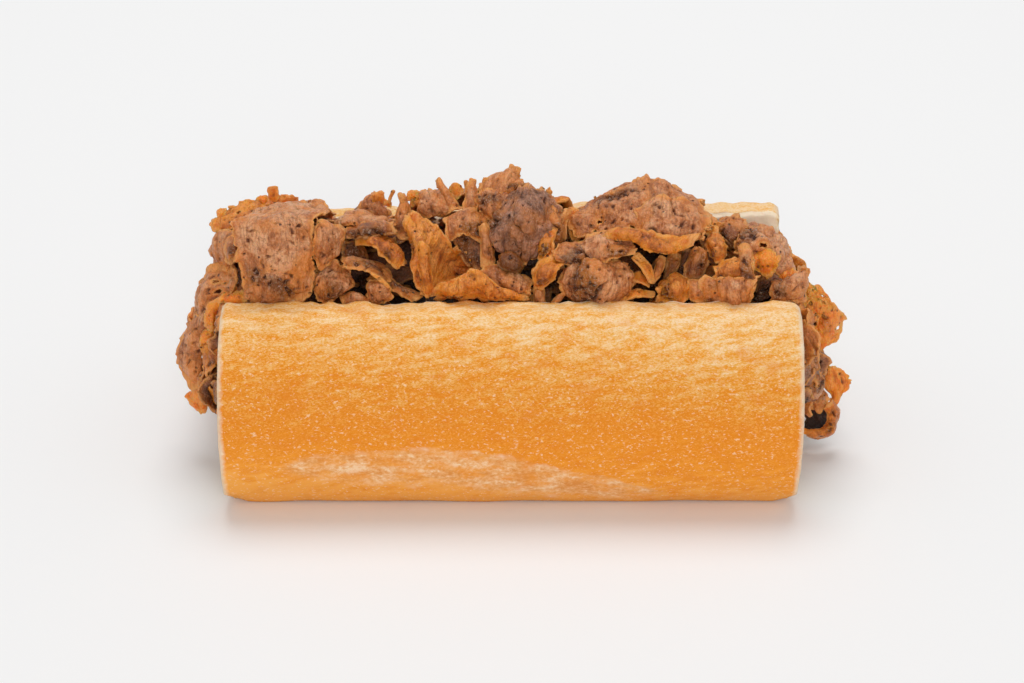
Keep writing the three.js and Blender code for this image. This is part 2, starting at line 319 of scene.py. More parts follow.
outer_top = math.asin((LIP_HEIGHT - LOBE_HEIGHT) / CRUST_RADIUS)
outer_base = -math.asin(LOBE_HEIGHT / CRUST_RADIUS)
inner_top = math.acos((LOBE_OFFSET - MOUTH_HALF) / -CRUMB_RADIUS)
inner_base = -math.asin((LOBE_HEIGHT - FLOOR_THICKNESS) / CRUMB_RADIUS)


def wall_line(lip, radius, top, base, middle_height):
    """A wall's line, from its lip round its lobe to the roll's middle."""
    def along_lip(share):
        return Vector(lip).lerp(lobe_point(radius, top), share)

    def round_lobe(share):
        return lobe_point(radius, top + (base - top) * share)

    def to_middle(share):
        return lobe_point(radius, base).lerp(Vector((0, middle_height)), share)

    return [(LIP_SHARE, along_lip), (ARC_SHARE, round_lobe), (1.0, to_middle)]


outer_lip = (-MOUTH_HALF - LIP_ROUNDING / 2, LIP_HEIGHT)
inner_lip = (-MOUTH_HALF, LIP_HEIGHT - LIP_ROUNDING / 2)
outside = wall_line(outer_lip, CRUST_RADIUS, outer_top, outer_base, 0)
inside = wall_line(inner_lip, CRUMB_RADIUS, inner_top, inner_base, FLOOR_THICKNESS)
print("skin turns through, degrees", round(math.degrees(outer_top - outer_base), 1))

# %% [markdown]
# ## From a section to a whole roll
# A flat grid is laid from the skin's line to the inside's. The far half is its mirror
# image, and the whole section is extruded from one cut end to the other.

# %% Mirror and extrude
WALL_CELLS = 110
THICKNESS_CELLS = 8
LENGTH_CELLS = 130
roll_bm = bmesh.new()
skin_depth = roll_bm.verts.layers.float.new("depth")
bmesh.ops.create_grid(roll_bm, x_segments=WALL_CELLS, y_segments=THICKNESS_CELLS, size=1)
for vert in roll_bm.verts:
    share, depth = (vert.co.x + 1) / 2, (vert.co.y + 1) / 2
    section = along(outside, share).lerp(along(inside, share), depth)
    vert[skin_depth] = depth
    vert.co = Vector((-half_length, section.x, section.y))
bmesh.ops.mirror(roll_bm, geom=roll_bm.faces[:], axis="Y", merge_dist=0.01)
bmesh.ops.remove_doubles(roll_bm, verts=roll_bm.verts, dist=0.01)
cut_end = roll_bm.faces[:]
pushed = bmesh.ops.extrude_face_region(roll_bm, geom=cut_end, use_keep_orig=True)
far_end = [item for item in pushed["geom"] if isinstance(item, bmesh.types.BMVert)]
bmesh.ops.translate(roll_bm, verts=far_end, vec=(2 * half_length, 0, 0))
long_edges = [edge for edge in roll_bm.edges if edge.calc_length() > half_length]
bmesh.ops.subdivide_edges(roll_bm, edges=long_edges, cuts=LENGTH_CELLS - 1, use_grid_fill=True)
bmesh.ops.recalc_face_normals(roll_bm, faces=roll_bm.faces)
print("roll faces", len(roll_bm.faces))

# %% [markdown]
# ## The pale split low on the front
# In the oven the skin tore along a low lens and the paler dough showed through. The
# lens is uneven above and fades out below, and a broken, nearly white line follows its
# edge. Both are worked out for any point of the crust.

# %% The split and its seam
BURST_LEFT = -62
BURST_RIGHT = 42
BURST_MIDDLE = 14
BURST_TALL = 13
BURST_DROP = 9
SHARP_ABOVE = 1.2
SOFT_BELOW = 4.5


def lens_share(place):
    """How far along the lens a point lies, from 0 at its left tip to 1 at its right."""
    return (place.x - BURST_LEFT) / (BURST_RIGHT - BURST_LEFT)


def lens_middle(share):
    """The height of the lens's middle, which sinks towards the right."""
    return BURST_MIDDLE - BURST_DROP * smooth(0.35, 1.0, share)


def burst_at(place):
    """How far a point of the crust lies inside the pale lens, from 0 to 1."""
    share = lens_share(place)
    if place.y > 0 or not 0 < share < 1:
        return 0.0
    half_tall = BURST_TALL / 2 * (4 * share * (1 - share)) ** 0.7
    half_tall += 1.2 * bumps((place.x, 0, 0), 9, 5)
    offset = place.z - lens_middle(share) + 0.8 * bumps(place, 4, 8) + 0.5 * bumps(place, 1.4, 9)
    softness = SHARP_ABOVE if offset > 0 else SOFT_BELOW
    return smooth(0, 1, (half_tall - abs(offset)) / softness + 0.5)


def seam_at(place):
    """How far a point lies on the broken pale line along the lens, from 0 to 1."""
    split = burst_at(place)
    if split == 0.0:
        return 0.0
    share = lens_share(place)
    more_above = 0.1 if place.z > lens_middle(share) else -0.35
    broken = smooth(-0.15, 0.3, bumps((place.x, 0, 0), 7, 14) + more_above)
    line = 1 - min(1.0, abs(split - 0.35) / 0.3)
    return line * broken * (1 - 0.6 * smooth(0.5, 0.9, share))


lens_centre = Vector(((BURST_LEFT + BURST_RIGHT) / 2, -45, lens_middle(0.5)))
print("split", BURST_RIGHT - BURST_LEFT, "mm long, pale by", burst_at(lens_centre), "at its middle")

# %% [markdown]
# ## Waves, ragged lip and torn crumb
# The skin is nearly smooth with shallow dents, the cut crumb is rough and stands a
# little behind the skin, and the inside is soft and lumpy. The lip is ragged, higher at
# the back, and the roll's foot is rounded where its weight has pressed it.

# %% The roll's surface
CRUMB_START = 0.12
LIP_ZONE = 44
CORNER_LONG = 2.2
CORNER_DIP = 1.3
FOOT_TALL = 5
FOOT_LONG = 7
FOOT_DRAW_IN = 2.4


def push_at(place, is_inside, is_cut, burst):
    """How far a point moves out of its face: torn crumb, soft inside or dented skin."""
    if is_inside and is_cut:
        return -0.35 + 0.45 * bumps(place, 4.2, 7) + 0.35 * bumps(place, 1.7, 9)
    if is_inside:
        return 0.5 * bumps(place, 3.5, 4) + 0.3 * bumps(place, 1.6, 6)
    dents = 0.45 * bumps(place, 26, 1) + 0.14 * bumps(place, 6, 2) + 0.10 * bumps(place, 2.2, 3)
    return (dents - 0.25 * burst) * smooth(0, 6, place.z)


def lip_lift(place):
    """How far a point rises: the higher back, the ragged lip and its dipped corners."""
    lift = 0.0
    if place.y > 0:
        rise = BACK_RISE_LEFT + (BACK_RISE_RIGHT - BACK_RISE_LEFT) * smooth(-60, 15, place.x)
        lift += rise * smooth(LOBE_HEIGHT, LIP_HEIGHT, place.z)
    high = smooth(LIP_ZONE, LIP_HEIGHT, place.z)
    along_lip = (place.x, place.y / 2, 0)
    lift += high * (0.5 * bumps(along_lip, 6, 11) + 0.7 * bumps(along_lip, 2.6, 12))
    corner = smooth(half_length - CORNER_LONG, half_length, abs(place.x)) * high
    return lift - CORNER_DIP * corner * corner


def foot_shift(place, is_inside):
    """How the foot draws in at the cut ends and lifts a little off the table."""
    foot = 1 - smooth(0, FOOT_TALL, place.z)
    near_cut = smooth(half_length - FOOT_LONG, half_length, abs(place.x))
    lift = 0.0
    if not is_inside and place.z < 4 and abs(place.y) > 36:
        lift = 0.45 + 0.45 * bumps((place.x, place.y / 4, 0), 11, 15) + 0.8 * near_cut
        lift *= smooth(36, 42, abs(place.y)) * foot
    return Vector((-math.copysign(FOOT_DRAW_IN * foot * foot * near_cut, place.x), 0, lift))


roll_bm.normal_update()
is_crumb = roll_bm.verts.layers.float.new("crumb")
is_burst = roll_bm.verts.layers.float.new("burst")
is_seam = roll_bm.verts.layers.float.new("seam")
for vert in roll_bm.verts:
    place = vert.co.copy()
    vert[is_crumb] = smooth(CRUMB_START, CRUMB_START + 0.05, vert[skin_depth])
    vert[is_burst] = burst_at(place)
    vert[is_seam] = seam_at(place)
    is_inside = vert[is_crumb] >= 0.5
    is_cut = smooth(half_length - 0.1, half_length, abs(place.x)) > 0.5
    vert.co += vert.normal * push_at(place, is_inside, is_cut, vert[is_burst])
    vert.co.z += lip_lift(place)
    vert.co += foot_shift(place, is_inside)
    vert.co.z = max(vert.co.z, 0.0)
bmesh.ops.scale(roll_bm, vec=(MM, MM, MM), verts=roll_bm.verts)
roll_mesh = bpy.data.meshes.new("crusty_roll")
roll_bm.to_mesh(roll_mesh)
roll_bm.free()
print("roll points", len(roll_mesh.vertices))

# %% [markdown]
# ## Baked skin
# The crust of a white roll is gold where it bulges towards the oven's heat and paler
# near the lip. At its very foot it is painted lighter, as painted light, where little
# light reaches. How far it is baked depends on height, on a slow drift and on fine
# streaks that run along the roll. Tiny pale flecks are blisters in the skin.

# %% The crust: thin baked skin of white wheat bread
RIGHT_SIDE_LIFT = 0.06
crust, tree, shader = material("baked wheat crust")
object_place = node(tree, "ShaderNodeTexCoord").outputs["Object"]
split = node(tree, "ShaderNodeSeparateXYZ", {"Vector": object_place})
height = maths(tree, "DIVIDE", split.outputs["Z"], LIP_HEIGHT * MM)
drift = maths(tree, "MULTIPLY_ADD", pattern(tree, 16, 2), 0.22, -0.11)
right_lift = maths(tree, "MULTIPLY", maths(tree, "DIVIDE", split.outputs["X"], half_length * MM),
                   RIGHT_SIDE_LIFT)
slant = node(tree, "ShaderNodeMapping", {"Vector": object_place}, {"Rotation": (0, 0.2, 0)})
drawn = node(tree, "ShaderNodeMapping", {"Vector": slant.outputs["Vector"]},
             {"Scale": [1 / (1.7 * MM * s) for s in (3.4, 1, 1)]})
streaks = maths(tree, "MULTIPLY_ADD", noise_on(tree, drawn.outputs["Vector"], 3.0, 0.6), 0.8, -0.48)
baked_at = maths(tree, "ADD", maths(tree, "ADD", maths(tree, "ADD", height, drift), right_lift), streaks)
# deep gold at the bulge, honey towards the lip, and lighter again at the foot: painted light where the
# lamps leave it dim
baked = ramp(tree, baked_at, [
    (0.00, "f8ac4a"), (0.12, "f39c2c"), (0.28, "eb8e16"), (0.45, "e7860c"),
    (0.60, "e68a08"), (0.74, "e89418"), (0.88, "eba63c"), (1.0, "eeb866")])
# the same skin where it blistered: paler and milkier
blistered = ramp(tree, baked_at, [
    (0.00, "f4a658"), (0.28, "f2a044"), (0.45, "f3a242"), (0.60, "f4ac52"),
    (0.74, "f4ba70"), (0.88, "f5c88e"), (1.0, "f6d4a8")])
flecks = pattern(tree, 0.36, 3, (2.0, 1, 1), 0.8)
fleck_at = maths(tree, "MULTIPLY_ADD", height, 0.1, maths(tree, "MULTIPLY_ADD", streaks, 0.3, flecks))
fleck_share = ramp(tree, fleck_at, [(0.5, 0.0), (0.64, 1.0)])
skin = mix(tree, fleck_share, baked, blistered)
blisters = ramp(tree, pattern(tree, 0.6, 2, (1.6, 1, 1), 0.6), [(0.6, 0.0), (0.68, 0.7)])
skin = mix(tree, blisters, skin, "fcd6ae")
blotch = ramp(tree, pattern(tree, 5, 2, (1.6, 1, 1)), [(0.56, 0.0), (0.72, 1.0)])
skin = mix(tree, maths(tree, "MULTIPLY", blotch, 0.35), skin, "e4811a")
print("baked skin", len(tree.nodes), "nodes")

# %% [markdown]
# ## Split, cut ends and crumb
# The split shows streaky paler dough, with a nearly white seam. Close to a cut the skin
# dries and loses its colour. The crumb is off-white and matt, with holes of two sizes that
# are painted darker, as painted shade, which are what makes it look soft. Near the lip the
# crumb is painted paler, as painted light, where the lamps leave the wall in shade.

# %% The pale places and the crumb
burst_streaks = maths(tree, "MULTIPLY_ADD", pattern(tree, 0.8, 3, (1.5, 1, 1), 0.7), 0.5,
                      maths(tree, "MULTIPLY", pattern(tree, 3.4, 3, (2.2, 1, 1), 0.6), 0.5))
burst_patches = ramp(tree, pattern(tree, 3.0, 2, (2.5, 1, 1)), [(0.4, 0.35), (0.55, 0.95)])
burst_share = maths(tree, "MULTIPLY", attribute(tree, "burst"), burst_patches, clamp=True)
burst_colour = ramp(tree, burst_streaks, [(0.4, "e29448"), (0.5, "eeb070"), (0.6, "fad6ac")])
skin = mix(tree, burst_share, skin, burst_colour)
skin = mix(tree, maths(tree, "MULTIPLY", attribute(tree, "seam"), 0.7), skin, "fbdcc0")
from_end = maths(tree, "SUBTRACT", half_length * MM, maths(tree, "ABSOLUTE", split.outputs["X"]))
end_noise = maths(tree, "MULTIPLY_ADD", pattern(tree, 2.0, 2), 0.0016, -0.0006)
near_end = ramp(tree, maths(tree, "DIVIDE", maths(tree, "SUBTRACT", from_end, end_noise), 0.0012),
                [(0.0, 1.0), (1.0, 0.0)])
skin = mix(tree, maths(tree, "MULTIPLY", near_end, 0.8), skin, "f4dfc4")
holes = maths(tree, "MULTIPLY_ADD", pattern(tree, 1.3, 3, rough=0.6), 0.6,
              maths(tree, "MULTIPLY", pattern(tree, 3.6, 2, rough=0.5), 0.4))
# painted shade: the crumb is darker in its holes
crumb_colour = ramp(tree, holes, [(0.32, "dcaa6c"), (0.44, "fbdcae"), (0.6, "fff0d6")])
off_cut = ramp(tree, maths(tree, "DIVIDE", from_end, 0.0015), [(0.5, 0.0), (1.0, 1.0)])
# painted light: the crumb near the lip is made paler, on a wall that the lamps leave in shade
painted_light_near_lip = maths(tree, "MULTIPLY", ramp(tree, height, [(0.6, 0.0), (0.74, 0.9)]), off_cut)
crumb_colour = mix(tree, painted_light_near_lip, crumb_colour, "ffecd0")
crumb_share = attribute(tree, "crumb")
tree.links.new(mix(tree, crumb_share, skin, crumb_colour), shader.inputs["Base Color"])
print("crust and crumb", len(tree.nodes), "nodes")

# %% [markdown]
# ## Sheen and relief of the bread
# The skin is satin and the crumb quite matt. Blisters stand up by a few tenths of a
# millimetre and the crumb's holes go deeper. A little light passes through both.

# %% The bread's finish
skin_rough = ramp(tree, flecks, [(0.35, 0.52), (0.7, 0.72)])
tree.links.new(mix(tree, crumb_share, skin_rough, 0.95), shader.inputs["Roughness"])
shader.inputs["Specular IOR Level"].default_value = 0.2
shader.inputs["Subsurface Weight"].default_value = 0.08
shader.inputs["Subsurface Radius"].default_value = (1.0, 0.5, 0.25)
shader.inputs["Subsurface Scale"].default_value = 0.002
fine_relief = maths(tree, "MULTIPLY", pattern(tree, 0.45, 2), 0.12)
skin_relief = maths(tree, "MULTIPLY_ADD", flecks, 0.35, fine_relief)
bread_relief = mix(tree, crumb_share, skin_relief, maths(tree, "MULTIPLY", holes, 1.6))
bump = node(tree, "ShaderNodeBump", {"Height": bread_relief}, {"Strength": 0.55, "Distance": 0.0006})
tree.links.new(bump.outputs["Normal"], shader.inputs["Normal"])
piece_from("crusty_roll", roll_mesh, crust, ["roll"])

# %% [markdown]
# ## How a slice of shaved meat hangs
# Shaved meat is a limp sheet a couple of millimetres thick. Its middle surface is worked
# out first: either an even bend across and up it, for slices that lie on the heap, or a
# smooth surface through rows of points, for the ones that the picture shows.

# %% Bent and draped sheets
BEND_STEPS = 120
DRAPE_STEPS = 8


def bend_line(length, bend):
    """A line bent evenly by some degrees and level on average: share to (along, out)."""
    step = length / BEND_STEPS
    angles = [math.radians(bend) / BEND_STEPS * (i + 1) for i in range(BEND_STEPS)]
    level = sum(angles) / BEND_STEPS
    points = [Vector((0, 0))]
    for angle in angles:
        points.append(points[-1] + step * Vector((math.cos(angle - level), math.sin(angle - level))))
    centre = Vector((points[BEND_STEPS // 2].x, sum(point.y for point in points) / len(points)))

    def at(share):
        reach = (share + 1) / 2 * BEND_STEPS
        start = min(max(int(reach), 0), BEND_STEPS - 1)
        return points[start] + (points[start + 1] - points[start]) * (reach - start) - centre

    return at


def directions(turn, lean, spin):
    """Across a slice, up it and out of its face, as the frame's directions."""
    turn, lean = math.radians(turn), math.radians(lean)
    out = Vector((math.sin(turn) * math.cos(lean), -math.cos(turn) * math.cos(lean), math.sin(lean)))
    across = Vector((math.cos(turn), math.sin(turn), 0))
    across.rotate(Matrix.Rotation(math.radians(spin), 3, out))
    return across, out.cross(across), out


def bent_sheet(faces, across, up):
    """The middle surface of an evenly bent sheet, and its half sizes in mm.

    faces is its turn, lean and spin, and across and up are each (length, bend)."""
    across_at, up_at = bend_line(*across), bend_line(*up)
    side, rise, out = directions(*faces)

    def surface(s, t):
        a, b = across_at(s), up_at(t)
        return side * a.x + rise * b.x + out * (a.y + b.y)

    return surface, across[0] / 2, up[0] / 2


def curve_through(points, share):
    """A smooth curve through points, for a share from -1 to 1, and straight on beyond."""
    last = len(points) - 1
    reach = (share + 1) / 2 * last
    i = min(max(int(reach), 0), last - 1)
    f = reach - i
    a, b = points[i], points[i + 1]
    if f < 0 or f > 1:
        return a + (b - a) * f
    before = points[i - 1] if i > 0 else a * 2 - b
    after = points[i + 2] if i + 2 <= last else b * 2 - a
    return (a * 2 + (b - before) * f + (before * 2 - a * 5 + b * 4 - after) * f * f
            + (a * 3 - before - b * 3 + after) * f * f * f) / 2


def draped_sheet(rows):
    """The middle surface through rows of points, lowest row first, and its half sizes in mm."""
    rows = [[Vector(point) for point in row] for row in rows]

    def surface(s, t):
        return curve_through([curve_through(row, s) for row in rows], t)

    steps = [2 * i / DRAPE_STEPS - 1 for i in range(DRAPE_STEPS + 1)]
    wide = sum((surface(a, 0) - surface(b, 0)).length for a, b in zip(steps, steps[1:]))
    tall = sum((surface(0, a) - surface(0, b)).length for a, b in zip(steps, steps[1:]))
    return surface, wide / 2, tall / 2


sample = bent_sheet((0, 45, 0), (20, 60), (10, 30))[0]
print("a bent sheet's corner, mm", [round(value, 1) for value in sample(1, 1)])

# %% [markdown]
# ## How a slice is torn
# Its rim tears into large and small lobes with nibbles between them, and a few slices
# have holes. Each point remembers how near a rim it is, because a rim dries thin, crisp
# and clear. The grain is remembered flat, so that it follows the slice when it bends.

# %% A flat, torn slice
RIM_WIDTH = 2.4
GRAIN_STEP = 3


def creases(point, size, seed):
    """Sharp valleys between round ridges, from 0 to 1."""
    return min(1.0, abs(bumps(point, size, seed)) * 2.6)


def torn_outline(spot, edge, size, lobed, offset):
    """Pushes the rim of a flat slice in and out, in large lobes, small lobes and nibbles."""
    if spot.length < 0.01:
        return spot
    way = spot.normalized()
    lobes = size * lobed * (0.26 * bumps(way * 2, 2.2, offset) + 0.16 * bumps(way * 2, 0.9, offset + 3))
    nibbles = 1.2 * bumps(spot, 2.4, offset + 6) + 0.8 * bumps(spot, 1.2, offset + 9)
    return spot + way * (lobes * edge ** 2 + min(1, size / 5) * nibbles * edge ** 6)


def grid_for_slice(half_across, half_up, cell):
    """A grid from -1 to 1 with square cells in mm, ready to remember what a slice needs."""
    slice_bm = bmesh.new()
    for name in ("rim", "tone", "relief", "wet"):
        slice_bm.verts.layers.float.new(name)
    for name in ("grain", "grow"):
        slice_bm.verts.layers.float_vector.new(name)
    bmesh.ops.create_grid(
        slice_bm, x_segments=max(10, round(2 * half_across / cell)),
        y_segments=max(10, round(2 * half_up / cell)), size=1)
    return slice_bm


def tear(slice_bm, half_across, half_up, round_share, lobed, offset, punched):
    """Rounds and tears the flat grid, and cuts its holes."""
    size = min(half_across, half_up)
    rim = slice_bm.verts.layers.float["rim"]
    grain = slice_bm.verts.layers.float_vector["grain"]
    for vert in slice_bm.verts:
        s, t = vert.co.x, vert.co.y
        edge = max(abs(s), abs(t))
        spot = Vector((s * math.sqrt(1 - round_share * t * t / 2) * half_across,
                       t * math.sqrt(1 - round_share * s * s / 2) * half_up, 0))
        spot = torn_outline(spot, edge, size, lobed, offset)
        from_rim = (1 - edge) * size
        for centre, radius in punched:
            from_rim = min(from_rim, max((spot - centre).length - radius, 0) * 1.4)
        vert[rim] = 1 - smooth(0, RIM_WIDTH, from_rim + 0.8 * bumps(spot, 2.5, offset + 20))
        vert[grain] = spot + Vector((offset, offset, 0)) * GRAIN_STEP
        vert.co = spot
    doomed = []
    for face in slice_bm.faces:
        middle = face.calc_center_median()
        if any((middle - centre).length < radius * (1 + 0.5 * bumps(middle, 0.8, offset))
               for centre, radius in punched):
            doomed.append(face)
    bmesh.ops.delete(slice_bm, geom=doomed, context="FACES")


print("a crease is", round(creases((3, 1, 0), 8, 0), 2), "deep at (3, 1)")

# %% [markdown]
# ## How a slice is ruffled
# The torn sheet is laid along its middle surface and ruffled, most of all at its rim.
# Each point also remembers which way is out, for the step that gives it thickness.

# %% Ruffles
def lay_and_ruffle(slice_bm, sheet, ruffle, offset):
    """Bends the flat slice along its middle surface and frills its rim."""
    surface, half_across, half_up = sheet
    size = min(half_across, half_up)
    grain = slice_bm.verts.layers.float_vector["grain"]
    grown = slice_bm.verts.layers.float_vector["grow"]
    for vert in slice_bm.verts:
        vert.co = surface(vert.co.x / half_across, vert.co.y / half_up)
    slice_bm.normal_update()
    for vert in slice_bm.verts:
        spot = vert[grain] - Vector((offset, offset, 0)) * GRAIN_STEP
        reach = min(1.0, max(abs(spot.x) / half_across, abs(spot.y) / half_up))
        frill = bumps(spot.normalized() * size, 2.4, offset + 30) * reach ** 3
        wave = bumps(spot, 9, offset + 40) * min(1.0, size / 8)
        fold = creases(spot + 2 * noise.noise_vector(spot / 5), 8, offset + 45) - 0.5
        pleat = creases((spot.x, spot.y / 3, 0), 3.6, offset + 47) - 0.5
        vert.co += vert.normal * ruffle * (1.9 * frill + 1.2 * wave + 1.2 * fold + 0.6 * pleat)
    slice_bm.normal_update()
    for vert in slice_bm.verts:
        vert[grown] = vert.normal


trial_sheet = draped_sheet([((-5, 0, 0), (5, 0, 0)), ((-5, 2, 8), (5, 2, 8))])
trial = grid_for_slice(trial_sheet[1], trial_sheet[2], 0.5)
print("a trial slice, mm", [round(2 * half, 1) for half in trial_sheet[1:]], len(trial.faces), "faces")
trial.free()

# %% [markdown]
# ## How a slice gets its thickness
# The sheet gets a second face. It thins out at the rim, and both faces have fine
# pleats, lumps and pits. Wet places have foam and a film of juice.

# %% Thickness, relief and wet places
THICKNESS = 1.7
RIM_THICKNESS = 0.5


def wetness_at(place, up_share, wet_share, wet_spot, offset):
    """How wet a point is: patches low on the slice, or one patch given as (middle, radius)."""
    if wet_spot is None:
        return smooth(0.05, 0.35, bumps(place, 7, offset + 90) + wet_share - 0.25 * up_share)
    middle, radius = wet_spot
    return smooth(1.2, 0.6, (place - Vector(middle)).length / radius + 0.7 * bumps(place, 5, offset + 95))


def relief_at(place, flat, way, wetness, offset):
    """Pleats, lumps, foam and pits on one face of a slice, in mm."""
    pleats = 0.26 * bumps((flat.x, flat.y / 6, way), 1.1, offset + 55)
    lumps = 0.2 * bumps(place, 2.6, offset + 60 + way) + 0.3 * (creases(place, 3.4, offset + 65) - 0.6)
    foam = 0.2 * bumps(place, 1.1, offset + 70) + 0.25 * (creases(place, 2.6, offset + 75) - 0.6)
    pit = max(0.0, bumps(place, 1.3, offset + 80 + way) - 0.4 + 0.3 * wetness) * 2.6
    return lumps + pleats + foam * wetness - pit


def thicken(slice_bm, half_up, thickness, tone, wet_share, wet_spot, offset):
    """Gives the sheet two faces, thin at the rim, and remembers tone, relief and wetness."""
    floats, vectors = slice_bm.verts.layers.float, slice_bm.verts.layers.float_vector
    upper = set(slice_bm.verts)
    bmesh.ops.extrude_face_region(slice_bm, geom=slice_bm.faces[:], use_keep_orig=True)
    rim, shade, relief, wet = floats["rim"], floats["tone"], floats["relief"], floats["wet"]
    grain, grown = vectors["grain"], vectors["grow"]
    for vert in slice_bm.verts:
        near = smooth(0, 1, vert[rim])
        body = thickness * (1 + 0.35 * bumps(vert.co, 5, offset + 50))
        deep = body + (RIM_THICKNESS - body) * near ** 2
        outward = 1 if vert in upper else -1
        way = outward / 2
        up_share = (vert[grain].y - GRAIN_STEP * offset) / half_up
        wetness = wetness_at(vert.co, up_share, wet_share, wet_spot, offset)
        height = relief_at(vert.co, vert[grain], way, wetness, offset) * (1 - 0.6 * near)
        vert[wet] = wetness * (1 - near)
        # painted light and shade: each slice is lighter towards its upper edge and darker towards its
        # lower one
        vert[shade] = tone + 0.5 * up_share
        vert[relief] = height
        vert.co += vert[grown] * (way * deep + height * outward)
    for vert in slice_bm.verts:
        vert.co += 0.9 * noise.noise_vector(vert.co / 7 + Vector((offset, 0, 0)))
    vectors.remove(vectors["grow"])


print("a slice is", THICKNESS, "mm thick and its rim", RIM_THICKNESS)

# %% [markdown]
# ## One whole slice
# A slice is a flat grid that is torn, laid along its sheet, ruffled and thickened. Its
# seed picks its tears and holes, so it comes out the same every time.

# %% The slice maker
TABLE_GAP = 1.0


def shaved_slice(seed, sheet, round_share=0.5, cell=0.5, ruffle=0.8, holes=1, tone=0.0,
                 thickness=THICKNESS, lobed=1.0, wet_share=0.0, wet_spot=None):
    """A torn, ruffled slice in mm along a sheet's middle surface."""
    rng = random.Random(seed)
    half_across, half_up = sheet[1:]
    offset = rng.uniform(0, 50)
    punched = []
    for _ in range(holes):
        centre = Vector((rng.uniform(-0.7, 0.7) * half_across, rng.uniform(-0.7, 0.7) * half_up, 0))
        punched.append((centre, rng.uniform(0.4, 0.9)))
    slice_bm = grid_for_slice(half_across, half_up, cell)
    tear(slice_bm, half_across, half_up, round_share, lobed, offset, punched)
    lay_and_ruffle(slice_bm, sheet, ruffle, offset)
    thicken(slice_bm, half_up, thickness, tone, wet_share, wet_spot, offset)
    bmesh.ops.recalc_face_normals(slice_bm, faces=slice_bm.faces)
    return slice_bm


def mesh_at(name, slice_bm, centre_mm=None):
    """Moves a slice to its place in mm, if it has one, and hands over its mesh in metres."""
    if centre_mm is not None:
        spots = [vert.co for vert in slice_bm.verts]
        low = Vector([min(spot[i] for spot in spots) for i in range(3)])
        high = Vector([max(spot[i] for spot in spots) for i in range(3)])
        bmesh.ops.translate(slice_bm, verts=slice_bm.verts, vec=Vector(centre_mm) - (low + high) / 2)
    for vert in slice_bm.verts:
        vert.co.z = max(vert.co.z, TABLE_GAP)
    bmesh.ops.scale(slice_bm, vec=(MM, MM, MM), verts=slice_bm.verts)
    made = bpy.data.meshes.new(name)
    slice_bm.to_mesh(made)
    slice_bm.free()
    return made


def joined(name, meshes):
    """Many small meshes as one."""
    things = [put_in_scene(name, each) for each in meshes]
    with bpy.context.temp_override(active_object=things[0], selected_editable_objects=things):
        bpy.ops.object.join()
    whole_mesh = things[0].data
    bpy.data.objects.remove(things[0])
    whole_mesh.name = name
    return whole_mesh


trial = shaved_slice(1, trial_sheet)
print("finished, the trial slice has", len(trial.faces), "faces")
trial.free()

# %% [markdown]
# ## Cooked meat
# Shaved cooked meat is a moist pinkish brown, mottled with darker grain and specks of
# pepper. Where it is thin it lets light through and dries to a clear orange brown, so
# the colour follows the rim attribute, and a painted highlight runs along the very rim.
# It is moist, so its gloss comes and goes.

# %% Flesh, rims and specks
PAINTED_RIM_HIGHLIGHT = "f6ac60"
PAINTED_CREVICE_SHADE = "5c2a0e"
WET_FLESH = "6b4530"
PAINTED_WET_GLINT = "d8b49a"
PEPPER = "241812"
DEEP_SHADOW = "150a05"


def flesh_colour(tree, lean, grain_colour, pale, strands, fibres, tone, relief):
    """Lean meat with darker strands and paler fibres, with painted shade and light from its tone and
    relief.
    """
    # painted shade and light: the tone darkens deep slices and lightens lit ones, and the relief makes
    # ridges paler and crevices darker
    mottle = maths(tree, "MULTIPLY_ADD", tone, 0.14, pattern(tree, 5.5, 4, rough=0.6))
    mottle = maths(tree, "MULTIPLY_ADD", relief, 0.26, mottle)
    flesh = ramp(tree, mottle, [(0.3, grain_colour), (0.48, lean), (0.68, pale)])
    flesh = mix(tree, ramp(tree, strands, [(0.36, 0.45), (0.5, 0.0)]), flesh, grain_colour)
    flesh = mix(tree, ramp(tree, fibres, [(0.36, 0.6), (0.49, 0.0)]), flesh, grain_colour)
    return mix(tree, ramp(tree, fibres, [(0.54, 0.0), (0.68, 0.6)]), flesh, pale)


def with_rim(tree, flesh, rim, fibres, rim_light, rim_dark, rim_reach):
    """Flesh that dries to a clear orange towards its rim, with a painted highlight at the very edge."""
    warm = ramp(tree, pattern(tree, 7, 2), [(0.45, 0.0), (0.65, 0.55)])
    flesh = mix(tree, warm, flesh, rim_light)
    rim_colour = ramp(tree, pattern(tree, 2.2, 2), [(0.35, rim_dark), (0.6, rim_light)])
    uneven = maths(tree, "MULTIPLY_ADD", fibres, 0.5, -0.3)
    rim_share = maths(tree, "MULTIPLY_ADD", rim, rim_reach, uneven, clamp=True)
    flesh = mix(tree, rim_share, flesh, rim_colour)
    # painted highlight: a pale line along the very edge, where a rim catches the light
    return mix(tree, ramp(tree, rim, [(0.75, 0.0), (0.97, 0.65)]), flesh, PAINTED_RIM_HIGHLIGHT)


def pepper_specks(tree):
    """Small dark specks that lie in patches."""
    dots = node(tree, "ShaderNodeTexVoronoi", {"Vector": scaled_place(tree, 1.9)}, {"Scale": 1.0})
    patches = ramp(tree, pattern(tree, 3.0, 2), [(0.55, 0.0), (0.62, 1.0)])
    speck = ramp(tree, dots.outputs["Distance"], [(0.12, 1.0), (0.24, 0.0)])
    return maths(tree, "MULTIPLY", speck, patches)


print("rim glow in linear light", [round(value, 3) for value in linear(PAINTED_RIM_HIGHLIGHT)[:3]])

# %% [markdown]
# ## One recipe, four browns
# All the meat comes from one recipe. Plain brown slices are pinkish, dark ones are
# greyer and pitted, crisp ones are browned right through, and amber ones are rims so
# thin that they glow orange.

